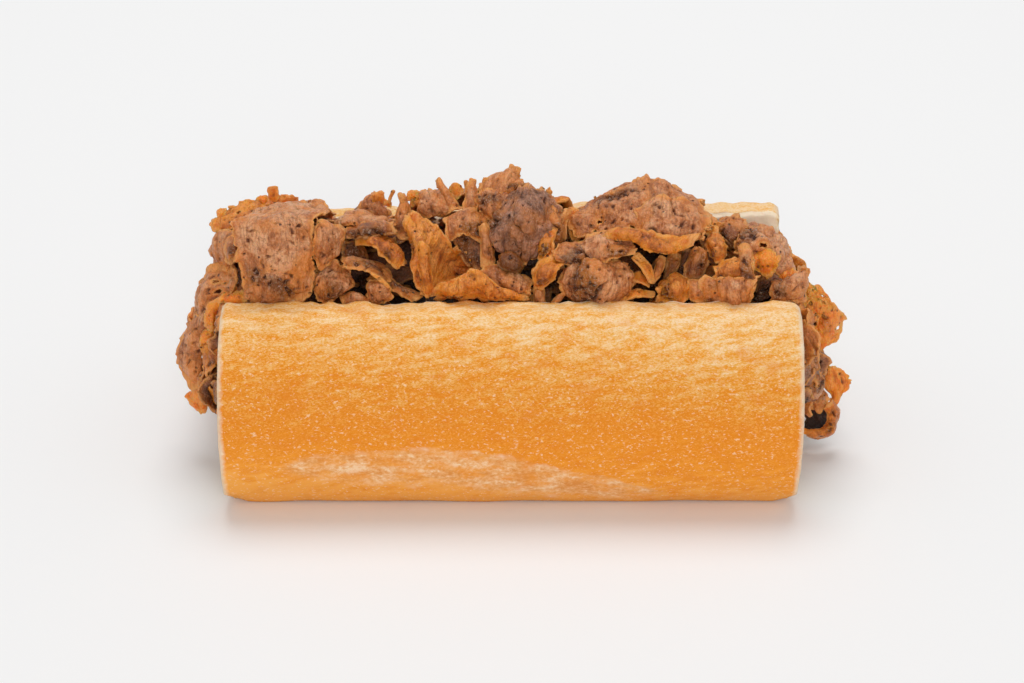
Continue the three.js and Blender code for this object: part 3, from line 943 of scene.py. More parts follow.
# %% The recipe and the four meats
def cooked_meat(name, lean, grain_colour, pale, rim_light, rim_dark, rim_reach, let_through=0.25):
    """Moist cooked meat. rim_reach says how far the dry rim spreads over the slice."""
    made, tree, shader = material(name)
    wet, rim, tone, relief = (attribute(tree, each) for each in ("wet", "rim", "tone", "relief"))
    flat = attribute(tree, "grain", "Vector")
    drawn = node(tree, "ShaderNodeMapping", {"Vector": flat}, {"Scale": (1 / 0.5, 1 / 3.5, 1)})
    strands = noise_on(tree, drawn.outputs["Vector"], 2.0, 0.6)
    fibres = pattern(tree, 0.8, 3, rough=0.65)
    flesh = flesh_colour(tree, lean, grain_colour, pale, strands, fibres, tone, relief)
    flesh = mix(tree, maths(tree, "MULTIPLY", wet, 0.5), flesh, WET_FLESH)
    flesh = with_rim(tree, flesh, rim, fibres, rim_light, rim_dark, rim_reach)
    # painted shade: crevices and pits, where the relief is low, are darkened
    painted_crevice_shade = ramp(tree, maths(tree, "MULTIPLY_ADD", relief, 0.5, 0.5), [(0.18, 0.85), (0.45, 0.0)])
    flesh = mix(tree, painted_crevice_shade, flesh, PAINTED_CREVICE_SHADE)
    specks = pepper_specks(tree)
    flesh = mix(tree, maths(tree, "MULTIPLY", specks, 0.85), flesh, PEPPER)
    shadowed = maths(tree, "MULTIPLY_ADD", tone, -0.55, -0.4, clamp=True)
    flesh = mix(tree, shadowed, flesh, DEEP_SHADOW)
    # painted glints: pale flecks in wet places stand in for highlights on the wet foam
    foam = ramp(tree, pattern(tree, 0.9, 3, rough=0.7), [(0.54, 0.0), (0.66, 0.7)])
    flesh = mix(tree, maths(tree, "MULTIPLY", foam, wet), flesh, PAINTED_WET_GLINT)
    tree.links.new(flesh, shader.inputs["Base Color"])
    tree.links.new(ramp(tree, wet, [(0.0, 0.33), (0.8, 0.14)]), shader.inputs["Roughness"])
    shader.inputs["Specular IOR Level"].default_value = 0.5
    shader.inputs["Subsurface Weight"].default_value = let_through
    shader.inputs["Subsurface Radius"].default_value = (1.0, 0.35, 0.12)
    shader.inputs["Subsurface Scale"].default_value = 0.0014
    pits = maths(tree, "MULTIPLY", pattern(tree, 0.75, 3, rough=0.65),
                 maths(tree, "MULTIPLY_ADD", wet, 1.1, 0.45))
    height = maths(tree, "MULTIPLY_ADD", strands, 0.35, maths(tree, "MULTIPLY_ADD", specks, -0.5, pits))
    bump = node(tree, "ShaderNodeBump", {"Height": height}, {"Strength": 1.0, "Distance": 0.0015})
    tree.links.new(bump.outputs["Normal"], shader.inputs["Normal"])
    return made


MEAT = {
    # pinkish brown with an orange rim, which most of the heap is
    "brown": cooked_meat("moist shaved meat", "ca7a40", "904c20", "eaac7c", "ea8e38", "c46818", 0.95),
    # greyer brown from the joint's outside, where the juice dried on it
    "dark": cooked_meat("darker pitted meat", "a06a4a", "5b3622", "c6927a", "d07c36", "965020", 0.7),
    # browned right through, so the rim's colour spreads over the whole slice
    "crisp": cooked_meat("thin crisp meat", "d2701e", "984a0e", "f09c46", "f89a2c", "d86c0a", 1.3),
    # so thin that light comes through it
    "amber": cooked_meat("clear amber rim of meat", "ff8c22", "e06c0a", "ffa448", "ffa02a", "fa7e0c",
                         1.2, let_through=0.75),
}
print("meats", [look.name for look in MEAT.values()])

# %% [markdown]
# ## The slices that show at the front and at both ends
# Each row says how one slice is draped: a few points that its middle surface passes
# through, from its lowest edge to its highest and from left to right. A point that
# shows in the picture is read there, with its depth judged in mm, and the camera turns
# it to mm. A slice that has its own solid in the frame stands for it, and a smaller
# one lies between.

# %% Points read in the picture
PICTURE_WIDE = 1024
PICTURE_TALL = 683
PIXELS_PER_SLOPE = PICTURE_WIDE * LENS_MM / SENSOR_MM
SMALL_SLICE = 48
SMALL_BULGE = 0.55


def seen_point(across, down, depth):
    """The point in mm that a pixel shows, at a depth in mm behind the roll's middle."""
    tilt = math.radians(PITCH_DOWN)
    right = (across - PICTURE_WIDE / 2) / PIXELS_PER_SLOPE
    up = (PICTURE_TALL / 2 - down) / PIXELS_PER_SLOPE
    ray = Vector((right, up * math.sin(tilt) + math.cos(tilt), up * math.cos(tilt) - math.sin(tilt)))
    eye = Vector(CAMERA_PLACE) / MM
    return eye + ray * (depth - eye.y) / ray.y


def seen(*rows):
    """Rows of (pixels across, pixels down, depth in mm) as rows of points in mm."""
    across = [point[0] for row in rows for point in row]
    small = len(rows[0]) == 3 and max(across) - min(across) <= SMALL_SLICE
    placed = []
    for row in rows:
        depths = [point[2] for point in row]
        if small:
            ends = (depths[0] + depths[2]) / 2
            depths[1] = ends + SMALL_BULGE * (depths[1] - ends)
        placed.append([seen_point(point[0], point[1], depth) for point, depth in zip(row, depths)])
    return placed


print("the picture's middle shows", [round(value, 1) for value in seen_point(512, 341.5, 0)])

# %% [markdown]
# ## Slice by slice
# The list runs from the picture's left to its right. Each slice has a name, the node it
# stands for, its kind of meat, how round it is, and its rows of points.

# %% The list of draped slices
DRAPED = []


def drape(*slices):
    """Adds slices to the list."""
    DRAPED.extend(slices)
    print([each[0] for each in slices])


print("draped slices", len(DRAPED))

# %% [markdown]
# ## The left end
# One broad square slice stands on the lip and folds back over the heap. Others hang
# out of the cut end, with thin amber bits between them.

# %% The left end
drape(
    ("left_block", "slice_left_block", "brown", 0.15, seen(
        ((244, 303, -23), (277, 307, -24), (313, 298, -22)),
        ((239, 265, -22), (275, 262, -24.5), (315, 262, -21)),
        ((233, 226, -20), (272, 225, -22), (312, 223, -20)),
        ((246, 218, -9), (285, 209, -8), (329, 212, -10)),
        ((262, 214, 0), (300, 201, 0), (324, 201, -1)))),
    ("left_flap", "slice_left_curl", "brown", 0.4, seen(
        ((312, 262, -21), (325, 266, -23), (340, 256, -17)),
        ((313, 240, -21), (326, 246, -23.5), (344, 240, -15)),
        ((316, 219, -19), (321, 220, -20), (336, 224, -13)))),
    ("left_back", "slice_left_back", "crisp", 0.5, seen(
        ((213, 237, -2), (245, 226, -4), (287, 214, -2)),
        ((214, 223, 2), (246, 212, 0), (288, 206, 2)),
        ((222, 211, 6), (252, 201, 6), (290, 197, 8)))),
    ("left_lump", "slice_left_lump", "brown", 0.6, seen(
        ((219, 263, -7), (228, 265, -12), (238, 258, -14)),
        ((211, 248, -4), (222, 246, -11), (237, 245, -15)),
        ((215, 233, -2), (226, 230, -8), (237, 228, -12)))),
    ("left_leaf", None, "brown", 0.5, seen(
        ((226, 259, -14), (232, 264, -16.5), (239, 258, -16)),
        ((225, 250, -14), (232, 250, -17), (238, 248, -16)),
        ((227, 238, -13), (232, 235, -15), (237, 235, -15)))),
    ("left_hanging", "slice_left_hanging", "brown", 0.4, seen(
        ((183, 378, -12), (196, 387, -15), (210, 376, -14)),
        ((175, 357, -9), (194, 355, -14), (214, 352, -13)),
        ((189, 322, -8), (202, 318, -13), (217, 318, -13)),
        ((199, 288, -8), (213, 286, -14), (237, 289, -17)),
        ((206, 266, -6), (222, 263, -9), (239, 262, -14)))),
    ("left_ribbon", "slice_left_ribbon", "amber", 0.4, seen(
        ((202, 329, -18), (210, 331, -20), (217, 328, -17)),
        ((205, 314, -19), (212, 315, -21), (218, 314, -19)),
        ((211, 299, -19), (220, 297, -21), (230, 299, -20)))),
    ("left_loop", None, "amber", 0.5, seen(
        ((204, 350, -16), (209, 356, -17), (216, 358, -15)),
        ((200, 340, -17), (208, 342, -19), (216, 342, -16)),
        ((202, 331, -15), (208, 330, -18), (216, 331, -15)))),
    ("left_sill", None, "amber", 0.4, seen(
        ((218, 304, -23), (231, 305, -24.5), (245, 304, -23)),
        ((219, 298, -22), (232, 298, -24), (246, 298, -23)),
        ((223, 291, -19), (234, 293, -20), (244, 289, -20)))),
    ("left_crumb", "slice_left_crumb", "amber", 0.7, seen(
        ((193, 408, -12), (204, 413, -14), (212, 407, -13)),
        ((186, 397, -12), (200, 397, -16), (213, 398, -13)),
        ((196, 387, -11), (203, 383, -14), (210, 386, -12)))))

# %% [markdown]
# ## Left of the middle
# Smaller slices make a low ridge, a triangle, a blade and a curled cup. Under them a
# low roof and lumps of meat come down to the lip.

# %% Left of the middle
drape(
    ("ridge", "slice_ridge", "brown", 0.4, seen(
        ((334, 230, -8), (362, 227, -10), (395, 229, -8)),
        ((334, 223, -5), (362, 219, -7), (396, 223, -4)),
        ((338, 216, 2), (362, 212, 0), (393, 219, 2)))),
    ("ridge_under", None, "brown", 0.3, seen(
        ((341, 241, -15), (366, 238, -17), (396, 233, -14)),
        ((343, 234, -12), (367, 230, -15), (396, 229, -12)),
        ((346, 228, -8), (368, 223, -9), (394, 225, -8)))),
    ("triangle", "slice_triangle", "brown", 0.2, seen(
        ((356, 215, 3), (375, 220, 1), (393, 221, 3)),
        ((361, 205, 6), (374, 205, 3), (387, 208, 5)),
        ((369, 194, 8), (374, 190, 7), (380, 195, 8)))),
    ("blade", "slice_blade", "brown", 0.3, seen(
        ((395, 236, -8), (401, 241, -10), (408, 241, -9)),
        ((395, 219, -4), (402, 220, -7), (409, 216, -4)),
        ((401, 196, 1), (404, 194, 0), (407, 200, 1)))),
    ("cup", "slice_cup", "crisp", 0.3, seen(
        ((356, 249, -14), (373, 249, -20), (388, 260, -22), (399, 269, -21)),
        ((358, 239, -13), (376, 241, -18), (392, 252, -20), (404, 266, -20)),
        ((363, 231, -9), (382, 235, -12), (398, 246, -14), (409, 262, -16)))),
    ("cup_side", None, "brown", 0.4, seen(
        ((342, 260, -16), (352, 264, -17), (365, 263, -14)),
        ((342, 251, -15), (353, 253, -16), (366, 255, -13)),
        ((344, 242, -12), (353, 244, -13), (366, 245, -11)))),
    ("low_roof", None, "brown", 0.3, seen(
        ((341, 270, -21), (356, 268, -22.5), (371, 273, -23), (389, 289, -23)),
        ((342, 264, -19), (358, 262, -20), (374, 268, -20), (389, 282, -21)),
        ((343, 258, -15), (360, 258, -15), (378, 264, -16), (391, 276, -18)))),
    ("low_strip", None, "crisp", 0.4, seen(
        ((369, 273, -24), (378, 281, -24.5), (389, 290, -24)),
        ((370, 270, -23.5), (380, 277, -24.5), (391, 286, -24)))),
    ("low_ramp", None, "brown", 0.3, seen(
        ((388, 291, -22), (400, 295, -23), (413, 303, -24)),
        ((388, 282, -19), (402, 289, -21), (420, 298, -23)),
        ((387, 275, -16), (403, 284, -18), (427, 295, -20)))),
    ("low_lump", "slice_low_lump", "brown", 0.5, seen(
        ((314, 298, -22), (326, 302, -24), (339, 297, -23)),
        ((315, 282, -20), (332, 282, -24), (355, 281, -20)),
        ((319, 267, -16), (336, 262, -17), (353, 266, -17)))),
    ("fibrous", "slice_fibrous", "brown", 0.4, seen(
        ((368, 302, -22), (379, 305, -24), (392, 302, -23)),
        ((367, 291, -22), (379, 290, -24.5), (393, 293, -22)),
        ((371, 278, -20), (378, 276, -21), (389, 285, -22)))),
    ("lip_lump", None, "brown", 0.5, seen(
        ((340, 301, -23), (353, 305, -24.5), (370, 304, -24)),
        ((341, 297, -22), (354, 297, -24.5), (370, 301, -23)),
        ((344, 293, -20), (355, 291, -22), (366, 297, -21)))))

# %% [markdown]
# ## The middle
# A long folded slice lies over the lip, with a trough and a rib along it. Behind it
# and to its right stand the highest slices, the peak and the dark disc.

# %% The middle
drape(
    ("fold", "slice_fold", "crisp", 0.15, (
        ((-28, -14, 67), (-26, -18.5, 61), (-24, -22, 53), (-16, -21, 50.5),
         (-6, -22, 51), (0, -23, 50.5), (5, -22, 51)),
        ((-27.5, -14, 70), (-24, -19, 66.5), (-20.5, -16, 58), (-15, -11, 54.5),
         (-7, -15, 52.5), (0, -20, 51.5), (5, -21, 52)),
        ((-26.5, -10, 71.5), (-22, -11, 68.5), (-17.5, -12.5, 65), (-12.5, -13.5, 60.5),
         (-7, -15.5, 56.5), (-0.5, -19, 52.5), (5.5, -20, 53)))),
    ("fold_trough", None, "crisp", 0.1, seen(
        ((434, 301, -22), (456, 301, -24), (480, 300, -25), (505, 300.5, -25), (526, 299, -23.5)),
        ((434, 292, -23), (456, 289, -26), (480, 284, -27.5), (505, 293, -26.5), (527, 297, -24.5)),
        ((436, 284, -22), (456, 277, -24.5), (478, 271, -25.5), (502, 287, -25.5), (528, 294, -23.5)))),
    ("fold_rib", None, "crisp", 0.3, (
        ((-23.5, -23.5, 52), (-22, -24, 52), (-20.5, -23, 52.5)),
        ((-24.5, -21, 60), (-22.5, -22.5, 61.5), (-21, -20.5, 59.5)),
        ((-24.5, -18.5, 65), (-23.5, -20, 66.5), (-22, -19, 64)))),
    ("round_brown", "slice_round_brown", "brown", 0.6, seen(
        ((419, 215, -3), (433, 219, -6), (449, 218, -4)),
        ((417, 202, -1), (432, 202, -6), (451, 202, -3)),
        ((420, 191, 3), (431, 186, 3), (443, 190, 2)))),
    ("orange_tab", None, "amber", 0.4, seen(
        ((409, 200, 0), (414, 204, -1), (419, 200, 0)),
        ((410, 190, 2), (415, 189, 1), (421, 192, 2)))),
    ("spike_slab", None, "brown", 0.2, seen(
        ((446, 217, -6), (453, 213, -7.5), (464, 211, -6)),
        ((445, 199, -3), (450, 198, -5), (458, 200, -3)),
        ((437, 181, 0), (439, 179, -1), (442, 182, 0)))),
    ("orange_knob", None, "amber", 0.6, seen(
        ((452, 197, 0), (458, 200, -1), (462, 196, 0)),
        ((449, 186, 2), (455, 183, 1), (461, 185, 2)))),
    ("forked", "slice_forked", "brown", 0.2, seen(
        ((445, 243, -14), (464, 235, -14), (491, 242, -13)),
        ((445, 221, -10), (466, 222, -12.5), (489, 224, -10)),
        ((462, 208, -5), (472, 205, -7), (484, 214, -5)))),
    ("forked_leg", None, "brown", 0.3, seen(
        ((481, 267, -17), (488, 269, -18), (495, 266, -16)),
        ((480, 246, -14), (486, 246, -16), (492, 248, -13)),
        ((478, 226, -12), (485, 225, -13.5), (491, 228, -11)))),
    ("pitted", "slice_pitted", "dark", 0.3, seen(
        ((463, 262, -16), (474, 269, -17), (486, 268, -16)),
        ((455, 250, -13), (470, 251, -14), (487, 250, -13)),
        ((453, 236, -10), (468, 234, -11), (486, 236, -10)))),
    ("pale", "slice_pale", "brown", 0.3, seen(
        ((478, 215, -7), (490, 221, -8), (505, 220, -8)),
        ((473, 202, -4), (494, 204, -7.5), (514, 205, -6)),
        ((478, 189, 0), (494, 188, -2), (512, 192, -1)))),
    ("pale_left", None, "brown", 0.2, seen(
        ((461, 212, -6), (469, 214, -7), (477, 212, -6)),
        ((463, 200, -3), (469, 200, -5), (477, 200, -3)),
        ((464, 188, -1), (471, 180, -1), (476, 186, 0)))),
    ("peak", "slice_peak", "brown", 0.2, seen(
        ((478, 193, 0), (502, 194, -3), (527, 191, 0)),
        ((482, 182, 4), (503, 180, 1), (525, 181, 4)),
        ((497, 173, 7), (510, 165, 6), (519, 165, 7)))),
    ("dark_disc", "slice_dark_disc", "dark", 0.4, seen(
        ((493, 257, -13), (515, 264, -16), (541, 257, -13)),
        ((489, 236, -11), (520, 236, -15.5), (557, 240, -9)),
        ((493, 212, -7), (525, 212, -11.5), (561, 214, -5)),
        ((511, 193, -1), (532, 185, -1), (551, 194, 0)))),
    ("disc_side", None, "brown", 0.3, seen(
        ((550, 247, -10), (556, 246, -13), (563, 241, -10)),
        ((548, 225, -7), (556, 225, -11), (564, 224, -7)),
        ((545, 205, -3), (553, 204, -5), (561, 209, -3)))),
    ("post", None, "crisp", 0.4, seen(
        ((570, 243, -7), (576, 245, -9), (583, 241, -7)),
        ((569, 226, -3), (575, 226, -6), (582, 226, -3)),
        ((568, 209, 1), (574, 207, -1), (583, 210, 1)))),
    ("post_left", None, "brown", 0.3, seen(
        ((558, 241, -9), (562, 242, -10), (566, 239, -8)),
        ((561, 210, -1), (565, 209, -3), (570, 210, -1)))),
    ("under_disc", None, "brown", 0.5, seen(
        ((494, 267, -19), (508, 271, -20), (523, 269, -19)),
        ((495, 262, -18), (508, 262, -20), (521, 263, -18)),
        ((497, 257, -15), (508, 253, -16), (518, 257, -15)))),
    ("tube", "slice_tube", "brown", 0.3, seen(
        ((477, 276, -20), (497, 286, -22), (512, 296, -24), (531, 294, -23.5)),
        ((478, 271, -19), (497, 275, -21), (514, 284, -23), (531, 289, -22)),
        ((480, 266, -15), (497, 264, -16), (516, 271, -17), (531, 283, -18)))),
    ("slab", None, "crisp", 0.3, seen(
        ((539, 261, -17), (547, 262, -19), (557, 259, -17)),
        ((537, 244, -13), (545, 244, -16.5), (553, 244, -14)),
        ((538, 229, -9), (546, 226, -11), (557, 229, -9)))),
    ("hood", "slice_hood", "crisp", 0.3, seen(
        ((531, 286, -22), (544, 289, -24), (557, 281, -23)),
        ((533, 273, -22), (547, 272, -25), (561, 268, -23.5)),
        ((537, 262, -18), (549, 257, -19), (567, 258, -18)))),
    ("hood_stem", None, "brown", 0.3, seen(
        ((532, 304, -23), (540, 306, -24), (549, 305, -23)),
        ((532, 294, -22), (539, 294, -24), (545, 295, -22.5)),
        ((534, 286, -21), (540, 285, -22), (546, 287, -21)))))

# %% [markdown]
# ## Right of the middle
# The broadest discs lie here, one high and one in front of it, with ribbons and
# slanting slices under them.

# %% Right of the middle
drape(
    ("lip_v", None, "brown", 0.3, seen(
        ((550, 305, -24), (555, 306, -25), (562, 304, -24)),
        ((557, 297, -23), (563, 291, -24), (569, 291, -22)))),
    ("big_disc", "slice_big_disc", "brown", 0.5, seen(
        ((572, 243, -10), (610, 234, -12), (655, 242, -13), (706, 240, -11)),
        ((570, 222, -3), (612, 214, -6), (660, 212, -8), (714, 219, -4)),
        ((578, 205, 5), (615, 188, 5), (655, 178, 7), (702, 200, 6)))),
    ("big_lobe", None, "brown", 0.6, seen(
        ((638, 239, -14), (668, 245, -15.5), (704, 243, -14)),
        ((632, 220, -10), (668, 222, -12.5), (710, 224, -10)),
        ((642, 201, -5), (668, 194, -6), (698, 206, -5)))),
    ("rim_band", "slice_rim_band", "crisp", 0.3, seen(
        ((600, 242, -16), (624, 240, -19), (644, 249, -20.5), (664, 254, -20.5), (690, 249, -18)),
        ((603, 235, -16), (626, 234, -19.5), (647, 241, -21), (668, 246, -21), (696, 244, -18)),
        ((607, 230, -13), (627, 227, -15), (649, 230, -16), (672, 235, -16), (703, 232, -13)))),
    ("shelf", "slice_shelf", "brown", 0.3, seen(
        ((551, 260, -20), (578, 268, -21.5), (606, 262, -22.5), (636, 256, -21.5)),
        ((552, 252, -17), (579, 254, -19), (606, 247, -20), (636, 248, -19)),
        ((556, 243, -12), (580, 239, -13), (605, 230, -13), (632, 237, -14)))),
    ("middle_disc", "slice_middle_disc", "brown", 0.5, seen(
        ((570, 305, -22), (598, 309, -25), (621, 305, -23)),
        ((559, 284, -22), (598, 284, -27), (635, 282, -22)),
        ((566, 262, -19), (600, 256, -21), (632, 258, -19)))),
    ("arc_ribbon", None, "crisp", 0.3, seen(
        ((631, 258, -21), (641, 267, -23), (648, 284, -23.5)),
        ((638, 250, -19), (650, 264, -21), (655, 284, -22)))),
    ("v_ribbon", None, "brown", 0.3, seen(
        ((650, 284, -22), (654, 285, -23), (658, 281, -21.5)),
        ((653, 270, -19), (657, 270, -21), (662, 269, -19)),
        ((655, 257, -16), (661, 255, -17), (667, 257, -16)))),
    ("small_arch", None, "crisp", 0.3, seen(
        ((631, 283, -23), (641, 284, -25), (651, 289, -23.5)),
        ((632, 276, -20), (641, 273, -21), (651, 282, -20)))),
    ("lip_ribbon", None, "crisp", 0.3, seen(
        ((615, 304, -24.5), (634, 299, -26), (654, 300, -25)),
        ((620, 297, -23), (636, 290, -23), (658, 291, -22)))),
    ("slant_1", None, "brown", 0.3, seen(
        ((662, 283, -19), (667, 285, -20), (673, 281, -19)),
        ((669, 251, -13), (675, 250, -14), (683, 253, -13)))),
    ("slant_2", None, "dark", 0.3, seen(
        ((675, 277, -18), (680, 280, -19), (687, 275, -18)),
        ((682, 251, -12), (686, 249, -13), (693, 249, -12)))),
    ("slant_3", "slice_lobe", "brown", 0.4, seen(
        ((682, 276, -19), (692, 280, -21), (703, 276, -19)),
        ((686, 262, -17), (697, 262, -20), (708, 262, -17)),
        ((694, 249, -14), (700, 248, -15), (707, 251, -14)))),
    ("knob", "slice_knob", "crisp", 0.5, seen(
        ((709, 259, -15), (716, 263, -18), (725, 257, -15)),
        ((705, 247, -13), (715, 247, -18), (727, 246, -14)),
        ((707, 237, -9), (716, 234, -10), (725, 238, -9)))))

# %% [markdown]
# ## The right end
# The slices at the right end are thinner and clearer. One is lacy with holes, others
# hang out of the cut end, and a crisp hook curls beneath.

# %% The right end
drape(
    ("right_pink", "slice_right_pink", "brown", 0.5, seen(
        ((721, 240, -7), (732, 245, -9), (745, 240, -7)),
        ((715, 229, -2), (730, 229, -6), (747, 229, -3)),
        ((717, 219, 2), (731, 217, 1), (747, 221, 2)))),
    ("pink_side", None, "crisp", 0.5, seen(
        ((703, 233, -8), (710, 236, -9), (719, 233, -8)),
        ((707, 218, -1), (712, 217, -2), (718, 220, -1)))),
    ("right_upper", "slice_right_upper", "brown", 0.4, seen(
        ((731, 251, -13), (757, 264, -16), (783, 279, -15)),
        ((738, 238, -8), (764, 243, -13), (793, 264, -9)),
        ((744, 225, 1), (764, 226, -2), (787, 240, -1)))),
    ("right_orange", "slice_right_orange", "amber", 0.5, seen(
        ((753, 271, -17), (764, 277, -18.5), (775, 273, -17)),
        ((749, 261, -16.5), (763, 261, -19.5), (778, 260, -17)),
        ((751, 253, -14), (764, 250, -15), (776, 253, -14)))),
    ("right_face", "slice_right_lip", "brown", 0.2, seen(
        ((699, 304, -24), (728, 306, -26), (754, 303, -24)),
        ((699, 290, -24), (728, 290, -27), (756, 288, -25)),
        ((704, 277, -22), (728, 278, -24), (759, 278, -22)))),
    ("right_gable", None, "crisp", 0.2, seen(
        ((710, 279, -22), (726, 281, -23.5), (743, 281, -22)),
        ((714, 268, -20), (728, 267, -22.5), (743, 266, -20)),
        ((719, 262, -16), (732, 258, -17), (742, 255, -16)))),
    ("right_post", None, "brown", 0.2, seen(
        ((743, 296, -25), (749, 298, -26.5), (757, 289, -24.5)),
        ((741, 270, -21), (747, 270, -24), (755, 271, -21)),
        ((741, 248, -16), (745, 245, -17), (750, 250, -16)))),
    ("frilly", "slice_frilly", "crisp", 0.3, seen(
        ((655, 302, -24), (670, 304, -25.5), (689, 301, -24)),
        ((657, 288, -23), (673, 288, -26.5), (692, 288, -23)),
        ((661, 280, -19), (674, 272, -20), (690, 278, -19)))),
    ("frilly_side", None, "brown", 0.3, seen(
        ((689, 300, -24), (698, 303, -25.5), (709, 303, -24)),
        ((688, 288, -23), (698, 288, -25), (708, 288, -23)),
        ((687, 278, -20), (697, 277, -21), (707, 275, -20)))),
    ("right_folds", "slice_right_folds", "brown", 0.2, seen(
        ((767, 302, -21), (785, 305, -23), (803, 301, -19)),
        ((769, 290, -20), (787, 287, -23.5), (807, 284, -18)),
        ((777, 281, -16), (794, 275, -18), (809, 266, -14)))),
    ("right_shade", None, "dark", 0.3, seen(
        ((755, 302, -20), (762, 304, -21), (771, 301, -20)),
        ((756, 279, -15), (763, 276, -16), (772, 279, -15)))),
    ("right_bits", None, "amber", 0.5, seen(
        ((775, 278, -15), (785, 280, -17), (799, 277, -15)),
        ((779, 270, -13), (788, 270, -15), (798, 271, -13)),
        ((784, 263, -10), (789, 261, -11), (796, 268, -10)))),
    ("lacy", "slice_lacy", "amber", 0.4, seen(
        ((804, 347, -12), (817, 352, -13), (837, 343, -11)),
        ((802, 325, -13), (820, 325, -16), (842, 322, -11)),
        ((806, 306, -13), (820, 302, -15), (838, 308, -11)),
        ((804, 286, -12), (811, 282, -13), (820, 291, -11)))),
    ("lacy_tab", None, "amber", 0.5, seen(
        ((801, 309, -14), (803, 312, -15), (807, 306, -14)),
        ((799, 297, -13), (804, 296, -14), (809, 299, -13)),
        ((801, 284, -11), (807, 281, -12), (815, 283, -11)))),
    ("right_hanging", "slice_right_hanging", "brown", 0.3, seen(
        ((806, 404, -13), (812, 410, -14), (822, 403, -12)),
        ((805, 376, -12), (812, 378, -14.5), (819, 376, -12)),
        ((805, 350, -11), (815, 346, -12), (829, 358, -10)))),
    ("right_leaf", None, "brown", 0.5, seen(
        ((811, 405, -15), (818, 413, -16), (827, 404, -14)),
        ((812, 396, -14.5), (820, 397, -16.5), (829, 398, -14)),
        ((813, 388, -13), (819, 386, -14.5), (827, 391, -13)))),
    ("right_crisp", "slice_right_crisp", "amber", 0.5, seen(
        ((826, 392, -12), (836, 400, -13), (845, 393, -12)),
        ((820, 378, -12), (838, 381, -15.5), (854, 383, -12)),
        ((824, 363, -10), (833, 364, -12), (846, 370, -11)))),
    ("hook_back", None, "dark", 0.5, seen(
        ((803, 430, -10), (814, 433, -11), (826, 426, -10)),
        ((803, 415, -8), (815, 416, -10), (830, 414, -8)),
        ((804, 402, -8), (815, 399, -9), (826, 404, -8)))),
    ("hook", "slice_hook", "crisp", 0.2, seen(
        ((803, 427, -16), (812, 429, -17.5), (823, 425, -17), (828, 415, -16), (822, 404, -15)),
        ((803, 432, -16), (815, 434, -18), (829, 429, -17.5), (834, 415, -16), (827, 401, -14)),
        ((804, 437, -13), (817, 440, -14), (834, 433, -13), (840, 414, -12), (831, 397, -12)))))

# %% [markdown]
# ## The back and the inside of the heap
# These don't show in the picture. Seven close the back of the heap, and four stand
# inside it, painted dark as shade, so that no light comes through its gaps.

# %% The back and the inside of the heap
drape(
    ("back_of_left_end", None, "brown", 0.4, (
        ((-77, 14, 54), (-70, 15, 55), (-62, 15, 57)),
        ((-78, 10, 60), (-70, 11, 62), (-62, 11, 62)),
        ((-78, 6, 62.5), (-70, 6, 65), (-62, 7, 65)))),
    ("back_of_block", None, "brown", 0.4, (
        ((-67, 12, 56), (-58, 13, 57), (-49, 12, 57)),
        ((-68, 6, 62), (-58, 7, 65), (-49, 6, 64)),
        ((-66, -1, 64), (-57, -1, 67.5), (-50.5, -2, 67.5)))),
    ("back_of_ridge", None, "brown", 0.4, (
        ((-46, 13, 55), (-39, 14, 56), (-32, 13, 57)),
        ((-46, 8, 60), (-39, 9, 62), (-32, 8, 61)),
        ((-45, 3, 62.5), (-38, 7, 65.5), (-33, 4, 62.5)))),
    ("back_of_bits", None, "brown", 0.4, (
        ((-28, 14, 58), (-19, 15, 60), (-9, 14, 62)),
        ((-27, 9, 65), (-19, 9, 66), (-9, 9, 68)),
        ((-26, 4, 68), (-19, 3, 69), (-9, 3, 70)))),
    ("back_of_peak", None, "brown", 0.4, (
        ((-7, 14, 63), (3, 15, 63), (13, 13, 60)),
        ((-6, 10, 68), (3, 9, 69), (13, 7, 64)),
        ((-4, 5, 72.5), (2, 4, 72.5), (11, 1, 68.5)))),
    ("back_of_disc", None, "brown", 0.4, (
        ((18, 14, 58), (29, 17, 61), (41, 17, 61), (52, 13, 58)),
        ((18, 10, 62), (29, 12, 66.5), (41, 13, 67.5), (52, 10, 62)),
        ((19, 5, 64), (29, 5, 69), (40, 6, 71), (51, 6, 65)))),
    ("back_of_right_end", None, "brown", 0.4, (
        ((61, 12, 54), (68, 12, 54), (75, 9, 51)),
        ((62, 7, 58), (68, 7, 59), (75, 5, 55)),
        ((64, 1, 60), (69, 0, 61), (75, 0, 57)))),
    ("inside_left", None, "dark", 0.3, (
        ((-53, 5, 57), (-47, 6, 57), (-41, 5, 57)),
        ((-53, 2, 61), (-47, 3, 62), (-41, 2, 61)),
        ((-52, -1, 64), (-47, 0, 63.8), (-42, 0, 63)))),
    ("inside_middle", None, "dark", 0.3, (
        ((-35, 5, 57), (-30, 6, 58), (-25, 5, 58)),
        ((-35, 3, 61), (-30, 4, 62.5), (-25, 3, 63)),
        ((-34, 1, 63), (-30, 1, 65.5), (-26, 0, 66.5)))),
    ("inside_disc", None, "dark", 0.3, (
        ((9, 5, 60), (18, 6, 60), (28, 5, 61)),
        ((9, 3, 64.5), (18, 3, 64), (28, 3, 66)),
        ((9.5, 0, 67.5), (18, 1, 65.5), (27, 1, 68.5)))),
    ("inside_right", None, "dark", 0.3, (
        ((49, 6, 56), (57, 7, 56), (66, 6, 55)),
        ((49, 3, 60), (57, 4, 60), (66, 3, 58.5)),
        ((49.5, 0, 63.5), (57, 0, 62.8), (65, -1, 60.5)))))
